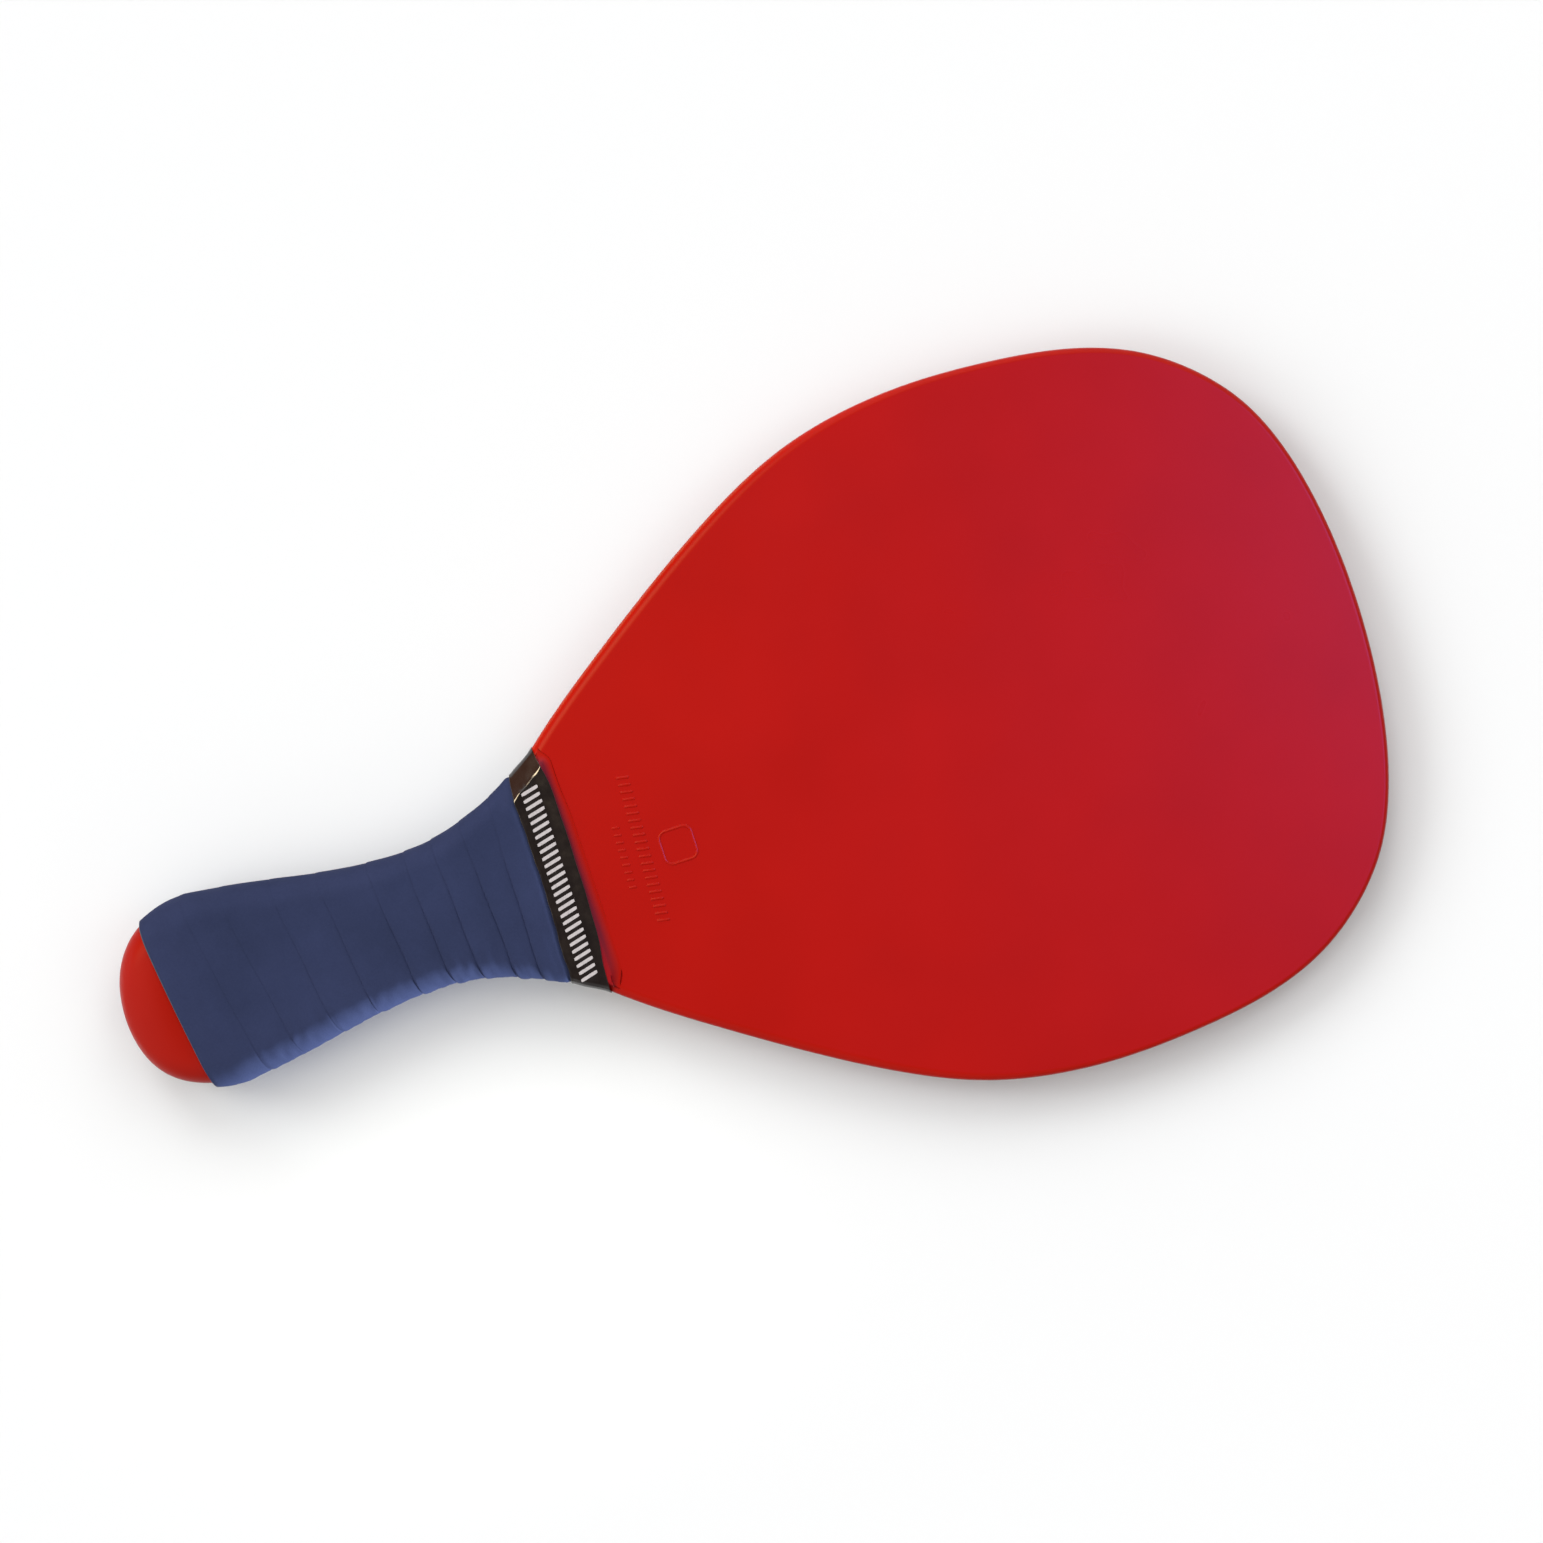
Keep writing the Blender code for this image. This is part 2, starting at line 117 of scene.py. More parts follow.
class Hermite:
    """Monotone curve through points, straight beyond its ends."""

    def __init__(self, points):
        self.t = np.array([p[0] for p in points], float)
        self.y = np.array([p[1] for p in points], float)
        d = np.diff(self.y) / np.diff(self.t)
        g = np.zeros(len(self.t))
        g[0], g[-1] = d[0], d[-1]
        for i in range(1, len(d)):
            if d[i - 1] * d[i] > 0:
                g[i] = 2 * d[i - 1] * d[i] / (d[i - 1] + d[i])
        self.g = g

    def __call__(self, x):
        t, y, g = self.t, self.y, self.g
        x = np.asarray(x, float)
        i = np.clip(np.searchsorted(t, x) - 1, 0, len(t) - 2)
        h = t[i + 1] - t[i]
        u = (x - t[i]) / h
        mid = ((2 * u ** 3 - 3 * u ** 2 + 1) * y[i] + (u ** 3 - 2 * u ** 2 + u) * h * g[i]
               + (3 * u ** 2 - 2 * u ** 3) * y[i + 1] + (u ** 3 - u ** 2) * h * g[i + 1])
        low = y[0] + (x - t[0]) * g[0]
        high = y[-1] + (x - t[-1]) * g[-1]
        return np.where(x < t[0], low, np.where(x > t[-1], high, mid))


def smooth(x, a, b):
    """0 at a and 1 at b, with a soft start and end."""
    t = np.clip((np.asarray(x, float) - a) / (b - a), 0.0, 1.0)
    return t * t * (3 - 2 * t)


def mix(a, b, t):
    return a + (b - a) * t


width_curve = Spline([(s, w) for s, w, h in CORE_STATIONS])
depth_curve = Spline([(s, h) for s, w, h in CORE_STATIONS])
side_curve = Spline(SIDE_ROUND)


def dome(s, length):
    left = np.clip(1 - np.asarray(s, float) / length, 0.0, 1.0)
    return (1 - left ** DOME_POWER) ** (1 / DOME_POWER)


def core_width(s):
    s = np.asarray(s, float)
    return np.where(s < 31.0, 30.0 * dome(s, DOME_LENGTH), width_curve(s))


def core_depth(s):
    s = np.asarray(s, float)
    return np.where(s < 31.0, 9.0 * dome(s, DOME_DEPTH), depth_curve(s))


def quarter(q, width, depth, side, power):
    """A point of a quarter section: q is 0 at the face's middle, 1 at the side."""
    flat = width - side
    run = 1.55 * side
    turn = flat / (flat + run)
    a = np.clip((q - turn) / (1 - turn), 0.0, 1.0) * HALF_PI
    sn, cs = np.sin(a), np.cos(a)
    r = (np.abs(sn) ** power + np.abs(cs) ** power) ** (-1 / power)
    y = np.where(q < turn, q * (flat + run), flat + side * sn * r)
    z = np.where(q < turn, depth, depth * cs * r)
    return y, z


CREASE = 7.4              # the film's crease, in from the neck's edge


def tented(q, width, depth):
    """The same where the wrapping spans from the scale's edge to the rim: a
    straight facet between them."""
    radius, wall = 2.9, 0.4
    ax, az = width - CREASE, depth
    cx = width - radius
    away = np.hypot(cx - ax, az - wall)
    beta = np.arctan2(az - wall, ax - cx) - np.arccos(radius / away)
    span = np.sqrt(away ** 2 - radius ** 2)
    bend = radius * beta
    d = q * (ax + span + bend + wall)
    tx, tz = cx + radius * np.cos(beta), wall + radius * np.sin(beta)
    u = np.clip((d - ax) / span, 0, 1)
    v = np.clip((d - ax - span) / bend, 0, 1)
    w = np.clip((d - ax - span - bend) / wall, 0, 1)
    soft = 0.9                            # half the length of the crease's rounding
    e = np.clip(d - ax, -soft, soft)
    r = np.where(d - ax > soft, d - ax, (e + soft) ** 2 / (4 * soft))
    y = np.where(u < 1, d + ((tx - ax) / span - 1) * r, cx + radius * np.cos(beta * (1 - v)))
    z = np.where(u < 1, az + (tz - az) / span * r,
                 wall * (1 - w) + radius * np.sin(beta * (1 - v)))
    return y, z


def crease_turn(s, off):
    """Where round the section the crease lies, as an angle from +Y."""
    width, depth = core_width(s) + off, core_depth(s) + off
    radius, wall = 2.9, 0.4
    away = np.hypot(CREASE - radius, depth - wall)
    beta = np.arctan2(depth - wall, radius - CREASE) - np.arccos(radius / away)
    whole = width - CREASE + np.sqrt(away ** 2 - radius ** 2) + radius * beta + wall
    return (1 - (width - CREASE) / whole) * HALF_PI


def shell(theta, s, off):
    """A point at height off over the handle's body. theta is 0 at +Y, a
    quarter turn at the front's middle, a half turn at -Y."""
    theta, s, off = np.broadcast_arrays(np.asarray(theta, float), s, off)
    width, depth = core_width(s) + off, core_depth(s) + off
    side = np.minimum(side_curve(s), width * 0.92)
    u = np.mod(theta, 2 * math.pi) / HALF_PI
    q = np.where(u < 1, 1 - u, np.where(u < 2, u - 1, np.where(u < 3, 3 - u, u - 3)))
    left = (u > 1) & (u < 3)              # the -Y half
    neck = smooth(s, 134.0, 141.0)
    tight = mix(side, 3.6, neck)
    plain = mix(2.3, 1.9, smooth(s, 24.0, 34.0))
    y1, z1 = quarter(q, width, depth, np.where(left, tight, side),
                     np.where(left, mix(plain, 2.6, neck), 2.3))
    y2, z2 = tented(q, width, depth)
    w = np.where(left, 0.0, neck)
    y, z = mix(y1, y2, w), mix(z1, z2, w)
    crown = 0.30 * (1 - smooth(s, 12.0, 34.0))
    z = z * (1 - crown * (y / np.maximum(width, 1.0)) ** 2)
    return np.where(left, -y, y), np.where(u < 2, z, -z)


# ------------------------------------------------------------ mesh building
def place(points):
    p = np.asarray(points, float).reshape(-1, 3)
    return np.stack([(p[:, 0] - LENGTH / 2) / 1000, p[:, 1] / 1000,
                     (p[:, 2] + HALF_DEPTH) / 1000], 1)


def finish_mesh(mesh, angle):
    mesh.shade_smooth()
    if angle:
        mesh.set_sharp_from_angle(angle=math.radians(angle))


def add_mesh(name, points, faces, angle=40, recalc=True):
    """A mesh object from points in millimetres and lists of corners."""
    mesh = bpy.data.meshes.new(name)
    mesh.from_pydata(place(points).tolist(), [], faces)
    mesh.update()
    if recalc:
        bm = bmesh.new()
        bm.from_mesh(mesh)
        bmesh.ops.recalc_face_normals(bm, faces=bm.faces)
        bm.to_mesh(mesh)
        bm.free()
    finish_mesh(mesh, angle)
    obj = bpy.data.objects.new(name, mesh)
    bpy.context.scene.collection.objects.link(obj)
    return obj


def grid_faces(rows, cols, wrap_rows=False, wrap_cols=True, start=0):
    out = []
    for i in range(rows if wrap_rows else rows - 1):
        for j in range(cols if wrap_cols else cols - 1):
            a, b = i, (i + 1) % rows
            c, d = j, (j + 1) % cols
            out.append((start + a * cols + c, start + a * cols + d,
                        start + b * cols + d, start + b * cols + c))
    return out


def bake(obj, *steps):
    """Applies booleans: steps are (cutter, operation)."""
    for cutter, operation in steps:
        mod = obj.modifiers.new("step", "BOOLEAN")
        mod.operation = operation
        mod.solver = "EXACT"
        mod.object = cutter
    graph = bpy.context.evaluated_depsgraph_get()
    mesh = bpy.data.meshes.new_from_object(obj.evaluated_get(graph))
    obj.modifiers.clear()
    obj.data = mesh
    for cutter, operation in steps:
        bpy.data.objects.remove(cutter, do_unlink=True)
    return obj


def prism(name, outline, low, high):
    n = len(outline)
    points = [(x, y, low) for x, y in outline] + [(x, y, high) for x, y in outline]
    faces = [tuple(range(n - 1, -1, -1)), tuple(range(n, 2 * n))]
    faces += [(i, (i + 1) % n, n + (i + 1) % n, n + i) for i in range(n)]
    return add_mesh(name, points, faces)


def tube_mesh(path, radius, sides=12, closed=False):
    """Points and faces of a rod along a level path, with round ends."""
    path = [np.array(p, float) for p in path]
    rings, n = [], len(path)
    up = np.array((0.0, 0.0, 1.0))

    def ring(centre, along, r):
        along = along / np.linalg.norm(along)
        across = np.cross(up, along)
        return [centre + r * (math.cos(k * 2 * math.pi / sides) * across
                              + math.sin(k * 2 * math.pi / sides) * up)
                for k in range(sides)]

    if closed:
        for i, p in enumerate(path):
            rings.append(ring(p, path[(i + 1) % n] - path[i - 1], radius))
    else:
        start, end = path[1] - path[0], path[-1] - path[-2]
        start, end = start / np.linalg.norm(start), end / np.linalg.norm(end)
        for k in range(1, 5):
            a = HALF_PI * k / 4
            rings.append(ring(path[0] - start * radius * math.cos(a), start,
                              radius * math.sin(a)))
        for i in range(1, n - 1):
            rings.append(ring(path[i], path[i + 1] - path[i - 1], radius))
        for k in range(4, 0, -1):
            a = HALF_PI * k / 4
            rings.append(ring(path[-1] + end * radius * math.cos(a), end,
                              radius * math.sin(a)))
    points = [p for r in rings for p in r]
    faces = grid_faces(len(rings), sides, wrap_rows=closed)
    if not closed:
        faces.append(tuple(range(sides - 1, -1, -1)))
        last = (len(rings) - 1) * sides
        faces.append(tuple(range(last, last + sides)))
    return points, faces


def joined(name, parts, angle=40):
    points, faces = [], []
    for p, f in parts:
        base = len(points)
        points += list(p)
        faces += [tuple(i + base for i in face) for face in f]
    return add_mesh(name, points, faces, angle)


# -------------------------------------------------------------------- blade
def blade_curve():
    half = [Vector(p) for p in BLADE_STATIONS] + [Vector((LENGTH, 0.0))]
    path = half + [Vector((p.x, -p.y)) for p in reversed(half[:-1])]
    t = [0.0]
    for a, b in zip(path, path[1:]):
        t.append(t[-1] + (b - a).length)
    sx = Spline([(k, p.x) for k, p in zip(t, path)])
    sy = Spline([(k, p.y) for k, p in zip(t, path)])
    return sx, sy, t[len(half) - 1]


def arc(cx, cy, radius, start, end, count):
    a = [math.radians(start + (end - start) * i / count) for i in range(count + 1)]
    return [(cx + radius * math.cos(k), cy + radius * math.sin(k)) for k in a]


def tang_side(grow=0.0):
    w, r, end = 13.0 + grow, 6.0 + grow, 24.0 - grow
    fillet, shoulder = 10.0 - grow, BLADE_STATIONS[0][0] - grow
    return (arc(end + r, w - r, r, 180, 90, 8)
            + arc(shoulder - fillet, w + fillet, fillet, 270, 360, 10))


def mirrored(side):
    return side + [(x, -y) for x, y in reversed(side) if abs(y) > 1e-6]


def scale_side(s):
    """Half width of the handle scales, which leave the rim clear at the neck."""
    blend = float(smooth(s, 128.0, 140.0))
    return float(core_width(s)) - 3.2 * blend


def foot_line(y):
    """Where the scales' ramp meets the blade: square across the middle and
    turned back at the outer corners."""
    y = np.asarray(y, float)
    line = SEAT_END - 0.10 - 0.75 * smooth(y, 16.0, 30.0)
    line = line - 2.9 * smooth(-y, 31.5, 41.5) ** 1.3
    return line - 2.6 * smooth(y, 36.0, 41.5) ** 1.3


def seat_side():
    rows = list(np.arange(132.0, 153.0, 1.5))
    side = [(18.0, 46.0), (122.0, 46.0), (128.5, float(core_width(128.5)) + 1.5)]
    side += [(float(s), scale_side(s) + 0.12) for s in rows]
    corner = [(float(foot_line(y)) + 0.03 + 0.10 * float(smooth(y, 12.0, 34.0)), float(y))
              for y in np.linspace(41.2, 0.0, 34)]
    side += corner
    return side


def make_blade(mat):
    sx, sy, tip = blade_curve()
    count = 300
    t = np.linspace(0.0, tip, count + 1)
    side = tang_side() + list(zip(sx(t), sy(t)))[:-1] + [(LENGTH, 0.0)]
    ring = np.array(mirrored([(float(x), float(y)) for x, y in side]))
    ahead, behind = np.roll(ring, -1, 0), np.roll(ring, 1, 0)
    along = ahead - behind
    along /= np.linalg.norm(along, axis=1)[:, None]
    out = np.stack([-along[:, 1], along[:, 0]], 1)    # +Y side runs to the tip
    s = ring[:, 0]
    plan = mix(3.3, 1.9, smooth(s, 200.0, 330.0))
    plan = mix(0.3, plan, smooth(s, 129.0, 134.0))
    tall = mix(0.3, 2.35, smooth(s, 129.0, 134.0))
    steps = 12
    levels = []

    def level(inset, z):
        p = ring - out * np.broadcast_to(inset, len(ring))[:, None]
        levels.append(np.column_stack([p, np.broadcast_to(z, len(ring))]))

    half = []
    for k in range(steps + 1):
        a = HALF_PI * k / steps
        half.append((plan * (1 - math.cos(a)), BLADE_HALF - tall + tall * math.sin(a)))
    half.append((plan + 0.35, BLADE_HALF))
    half.append((plan + 1.1, BLADE_HALF))
    for inset, z in reversed(half):
        level(inset, -np.asarray(z) if np.ndim(z) else -z)
    level(0.0, -0.16)
    level(-0.05, -0.05)
    level(-0.05, 0.05)
    level(0.0, 0.16)
    for inset, z in half:
        level(inset, z)
    n = len(ring)
    points = np.concatenate(levels)
    faces = grid_faces(len(levels), n)
    faces.append(tuple(range(n - 1, -1, -1)))
    last = (len(levels) - 1) * n
    faces.append(tuple(range(last, last + n)))
    blade = add_mesh("blade_skin", points, faces, 30)

    seat = mirrored(seat_side())
    front = prism("seat_front", seat, TANG_HALF, 9.0)
    back = prism("seat_back", seat, -9.0, -TANG_HALF)
    holes = []
    for c in (46.0, 82.0, 118.0):
        rim = arc(c, 0.0, 2.8, 0, 360, 36)[:-1]
        k = len(rim)
        p = [(x, y, -9.0) for x, y in rim] + [(x, y, 9.0) for x, y in rim]
        f = [tuple(range(k - 1, -1, -1)), tuple(range(k, 2 * k))]
        f += [(i, (i + 1) % k, k + (i + 1) % k, k + i) for i in range(k)]
        holes.append((p, f))
    bore = joined("pin_holes", holes)

    # low moulded relief: two rows of plain dashes and a rounded square
    relief = []
    z = BLADE_HALF - 0.29
    for i in range(21):
        y = -24.0 + 2.4 * i
        s0 = 176.0 + 0.04 * y
        relief.append(tube_mesh([(s0 - 1.7, y + 0.35, z), (s0, y, z), (s0 + 1.7, y - 0.35, z)], 0.58))
    for i in range(9):
        y = -10.8 + 2.5 * i
        s0 = 169.4 + 0.04 * y
        relief.append(tube_mesh([(s0 - 0.95, y + 0.2, z), (s0, y, z), (s0 + 0.95, y - 0.2, z)], 0.54))
    square = []
    for cx, cy, a0 in ((190.0, 0.6, 0), (184.4, 0.6, 90), (184.4, -5.2, 180), (190.0, -5.2, 270)):
        square += [(x, y, z) for x, y in arc(cx, cy, 2.6, a0, a0 + 90, 8)]
    relief.append(tube_mesh(square, 0.58, closed=True))
    raised = joined("relief", relief)
    bake(blade, (front, "DIFFERENCE"), (back, "DIFFERENCE"), (bore, "DIFFERENCE"),
         (raised, "UNION"))
    blade.data.materials.clear()
    blade.data.materials.append(mat)
    finish_mesh(blade.data, 28)
    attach(blade, "root")
    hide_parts("racket_blade")
    return blade


# ------------------------------------------------------------------- scales
def scale_top(s, y):
    """Height of a scale's face near the neck: the handle's own section, with
    the long chamfer on +Y that the film lies on, and a softened edge on -Y."""
    turns = np.linspace(0.0, math.pi, 181)
    ys, zs = shell(turns, s, -0.03)
    z = float(np.interp(y, ys[::-1], zs[::-1]))
    edge = scale_side(s) + y                      # distance in from the -Y side
    return z - 0.5 * (1 - float(smooth(edge, -0.05, 1.5))) ** 2


def make_scale(name, sign, mat):
    """The CAD's half shell with a finely shaped end at the neck."""
    cad = frame["nodes"]["handle_scale_front" if sign > 0 else "handle_scale_back"]
    obj = bpy.data.objects.new(name, cad.data.copy())
    bpy.context.scene.collection.objects.link(obj)
    low = TANG_HALF + 0.06
    rows = []
    across = np.concatenate([np.linspace(-1.0, -0.94, 7)[:-1], np.linspace(-0.94, 0.72, 30)[:-1],
                             np.linspace(0.72, 1.0, 22)])
    body = list(np.linspace(135.4, 151.0, 9)) + [152.2, 153.2]
    steps = [(s, None) for s in body] + [(None, t) for t in np.linspace(0.0, 1.0, 17)]
    for s0, t in steps:
        top, bottom = [], []
        for a in across:
            if t is None:
                s, y = s0, a * (scale_side(s0) - 0.02)
                z = scale_top(s, y)
            else:
                # the ramp's rows turn from straight to the foot's own line
                y_end = a * (41.6 if a > 0 else 41.0)
                foot = float(foot_line(y_end))
                start = min(153.7, foot - 2.4)
                s = mix(start, foot, t)
                y = mix(a * (scale_side(start) - 0.02), y_end, t ** 1.5)
                h = scale_top(min(s, 154.2), y)
                z = mix(BLADE_HALF - 0.02, h, max(0.0, 1 - t) ** 1.8)
            z = max(z, low + 0.02)
            top.append((s, y, sign * z))
            bottom.append((s, y, sign * low))
        rows.append(top + bottom[::-1])
    cols = len(rows[0])
    points = np.array([p for r in rows for p in r])
    faces = grid_faces(len(rows), cols)
    faces.append(tuple(range(cols - 1, -1, -1)))
    last = (len(rows) - 1) * cols
    faces.append(tuple(range(last, last + cols)))
    ramp = add_mesh("ramp", points, faces, 30)
    cut = prism("cut", [(136.2, -60), (170.0, -60), (170.0, 60), (136.2, 60)], -12.0, 12.0)
    bake(obj, (cut, "DIFFERENCE"), (ramp, "UNION"))
    obj.data.materials.clear()
    obj.data.materials.append(mat)
    finish_mesh(obj.data, 32)
    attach(obj, "root")
    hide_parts(cad.name)
    return obj


# ----------------------------------------------------------------- butt cap
def cap_lean(s):
    """The dome's tip leans a little to one side."""
    return -1.5 * np.clip(1 - s / 16.0, 0.0, 1.0) ** 1.4


def make_cap(mat):
    turns = np.linspace(0, 2 * math.pi, 144, endpoint=False)
    edge = CAP_EDGE - 0.3
    outer = []
    for i in range(1, 41):
        s = edge * (1 - math.cos(HALF_PI * i / 40)) ** 1.25
        y, z = shell(turns, s, 0.0)
        outer.append(np.column_stack([np.full(len(turns), s), y + cap_lean(s), z]))
    inner = []
    deep = SPIGOT_END - 0.3
    for s in np.linspace(edge, deep, 8):
        y, z = shell(turns, s, -CAP_WALL)
        inner.append(np.column_stack([np.full(len(turns), s), y, z]))
    y, z = shell(turns, deep, -CAP_WALL)
    for i in range(1, 6):
        a = HALF_PI * i / 6
        s = deep - (deep - CAP_WALL - 0.6) * math.sin(a)
        inner.append(np.column_stack([np.full(len(turns), s), y * math.cos(a) ** 0.7,
                                      z * math.cos(a) ** 0.8]))
    rings = outer + inner
    n = len(turns)
    points = np.concatenate(rings + [np.array([(0.0, float(cap_lean(0.0)), 0.0),
                                               (CAP_WALL + 0.6, 0.0, 0.0)])])
    faces = grid_faces(len(rings), n)
    tip, well = len(points) - 2, len(points) - 1
    last = (len(rings) - 1) * n
    for j in range(n):
        k = (j + 1) % n
        faces.append((tip, k, j))
        faces.append((well, last + j, last + k))
    cap = add_mesh("cap_skin", points, faces, 50)
    cap.data.materials.append(mat)
    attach(cap, "root")
    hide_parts("butt_cap")
    return cap


# --------------------------------------------------------------- grip tape
TAPE_BASE = 0.15
SEAM_CENTRES = [34.6, 47.1, 62.0, 76.2, 92.0, 103.7, 113.3, 123.7, 133.0, 142.5, 152.0]
SEAM_SLANTS = [9.0, 9.0, 8.0, 7.0, 5.5, 4.0, 3.7, 2.6, -1.4, -2.0, -2.0]
TAPE_END = 148.4
TUCK = 3.0


def tape_edge_curve():
    """The exposed edge of the winding: one turn square round the butt, then a
    helix through the seams that show on the front."""
    knots = []
    for n, (c, slant) in enumerate(zip(SEAM_CENTRES, SEAM_SLANTS), 1):
        w = float(core_width(c)) + 2.2
        lean = w * math.tan(math.radians(slant))
        turn = 2 * math.pi * n
        knots += [(turn, c - lean), (turn + HALF_PI, c), (turn + math.pi, c + lean)]
    first = [(math.pi, 17.5 + 0.105 * 30.2)]
    return Hermite(first + knots)


def wrinkles(theta, s):
    """Small dents and puckers where the tape is pulled round the -Y side, and
    its swelling beside the film."""
    round_it = smooth(-np.cos(theta), 0.45, 0.85)
    side = round_it * smooth(s, 20.0, 34.0) * (1 - smooth(s, 133.0, 139.0))
    swell = round_it * smooth(s, 122.0, 129.0) * (1 - smooth(s, 136.0, 139.5))
    broad = np.sin(1.15 * s + 2.2 * np.sin(3.0 * theta + 0.21 * s)) * np.sin(5.0 * theta - 0.33 * s)
    fine = np.sin(2.1 * s - 9.0 * theta + 1.7 * np.sin(0.4 * s)) * np.sin(0.7 * s + 6.0 * theta)
    return side * (0.13 * broad + 0.07 * fine + 0.03) + 0.36 * swell


def make_tape(mat, cut_mat):
    later = tape_edge_curve()

    def edge(phi):
        y, z = shell(phi, 17.5, 1.2)
        ring = 17.5 - 0.105 * y
        wob = 0.16 * np.sin(1.7 * phi + 0.6) + 0.10 * np.sin(4.3 * phi + 2.0)
        return np.where(phi <= math.pi, ring, later(phi) + wob * smooth(phi, math.pi, 2.4 * math.pi))

    step = 2 * math.pi / 176
    phi = np.arange(-math.pi, 23.2 * math.pi, step)
    start = edge(phi)
    keep = start < TAPE_END - 1.2
    phi, start = phi[keep], start[keep]
    nxt = edge(phi + 2 * math.pi)
    end = np.minimum(nxt + TUCK, TAPE_END)
    first = smooth(phi, 1.0 * math.pi, 1.35 * math.pi)      # 0 on the first turn
    film_at = band_edges(phi)[0]

    # the turns lie almost flush on the +Y side and stand proud on the -Y side
    yy = shell(phi, 80.0, 0.0)[0] / float(core_width(80.0))
    proud = mix(0.12, 1.0, smooth(-yy, -0.62, 0.10))
    proud = np.where(np.mod(phi, 2 * math.pi) > math.pi, np.maximum(proud, 0.45), proud)

    def scaled(s):
        """Tape thickness here over its full thickness."""
        grow = mix(0.50, 1.0, smooth(s, 15.0, 31.0))
        press = mix(1.0, 0.56, smooth(s, film_at - 1.5, film_at - 0.1))
        press = press * mix(1.0, 0.25, smooth(s, 143.5, TAPE_END))
        return grow * press

    def crest(s):
        return mix(2.03, mix(2.0, 2.14, smooth(s, 40.0, 100.0)), proud) * scaled(s)

    def trough(s):
        return mix(1.97, mix(1.88, 1.72, smooth(s, 40.0, 105.0)), proud) * scaled(s)

    def notch(s):
        return mix(0.08, 0.17, smooth(s, 45.0, 115.0)) * mix(0.2, 1.0, proud) * scaled(s)

    tucked = 0.85

    def under(x, at):
        """Top of the turn below at distance x past the seam at station at."""
        s = at + x
        lip = trough(at) - notch(at)
        return mix(lip, tucked * scaled(s), smooth(x, 0.0, 1.7))

    rows_s, rows_h, kinds = [], [], []
    lip_run = mix(1.9, 0.75, smooth(start, 45.0, 115.0))
    lip_run = mix(0.5, lip_run, first)
    lip_low = mix(0.12, trough(start) - notch(start) + 0.06, first)
    room = np.maximum(end - start, 0.4)
    lip_run = np.minimum(lip_run, room * 0.3)

    def column(s, h, kind):
        rows_s.append(s)
        rows_h.append(h)
        kinds.append(kind)

    for k in range(0, 10):
        a = HALF_PI * k / 9
        soft_s, soft_h = 1 - math.cos(a), math.sin(a)
        lin = k / 9.0
        fs = mix(lin, soft_s, first)
        fh = mix(min(1.0, lin * 1.0), soft_h, first)
        s = start + lip_run * fs
        column(s, mix(lip_low, crest(s), fh), 0)
    body_start = start + lip_run
    body_end = np.minimum(nxt - 0.75, end - 0.15)
    body_end = np.maximum(body_end, body_start + 0.05)
    for k in range(1, 11):
        t = k / 10.0
        s = mix(body_start, body_end, t)
        fall = float(smooth(t, 0.0, 1.0)) * 0.6 + 0.4 * t
        column(s, mix(crest(s), trough(s), fall), 1)
    dip_end = np.minimum(nxt, end - 0.1)
    for k in range(1, 6):
        t = k / 5.0
        s = mix(body_end, dip_end, t)
        column(s, trough(s) - notch(nxt) * t ** 1.8, 1)
    for k in range(1, 6):
        t = k / 5.0
        x = np.maximum(end - nxt, 0.1) * t * 0.98
        s = np.minimum(nxt + x, end - 0.05 * (1 - t))
        column(s, np.minimum(under(np.maximum(s - nxt, 0), nxt), trough(s)), 1)
    column(end, 0.35 * scaled(end), 1)
    column(end, 0.02 * np.ones_like(end), 2)
    # underside, back to the exposed edge
    over = first * TUCK                                 # length lying on the turn below
    for k in range(1, 4):
        t = k / 4.0
        s = mix(end, start + np.minimum(over + 0.9, room * 0.8), t)
        column(s, 0.02 * np.ones_like(s), 2)
    lift = np.minimum(over, room * 0.7)
    for t in (1.0, 0.8, 0.6, 0.45, 0.3, 0.2, 0.1, 0.0):
        s = start + lift * t + 0.16 * (1 - first) * (1 - t)
        h = under(lift * t, start) + 0.03
        column(s, mix(0.02, h, first), 2)
    s = np.array(rows_s)
    h = np.array(rows_h)
    cols, rows = s.shape
    h = h + wrinkles(phi[None, :], s) * np.clip(h / 1.7, 0.0, 1.0) ** 2
    y, z = shell(np.broadcast_to(phi, s.shape), s, TAPE_BASE + h)
    points = np.stack([s, y, z], 2).transpose(1, 0, 2).reshape(-1, 3)
    faces = grid_faces(rows, cols)
    faces.append(tuple(range(cols - 1, -1, -1)))
    last = (rows - 1) * cols
    faces.append(tuple(range(last, last + cols)))
    tape = add_mesh("tape_winding", points, faces, 60)
    tape.data.materials.append(mat)
    tape.data.materials.append(cut_mat)
    turn_rows = int(2 * math.pi / step)
    index = np.zeros(len(faces), int)
    for i in range(min(turn_rows, rows - 1)):
        for j in range(0, 8):
            index[i * cols + j] = 1
    tape.data.polygons.foreach_set("material_index", index)
    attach(tape, "root")
    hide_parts("grip_tape")
    return tape


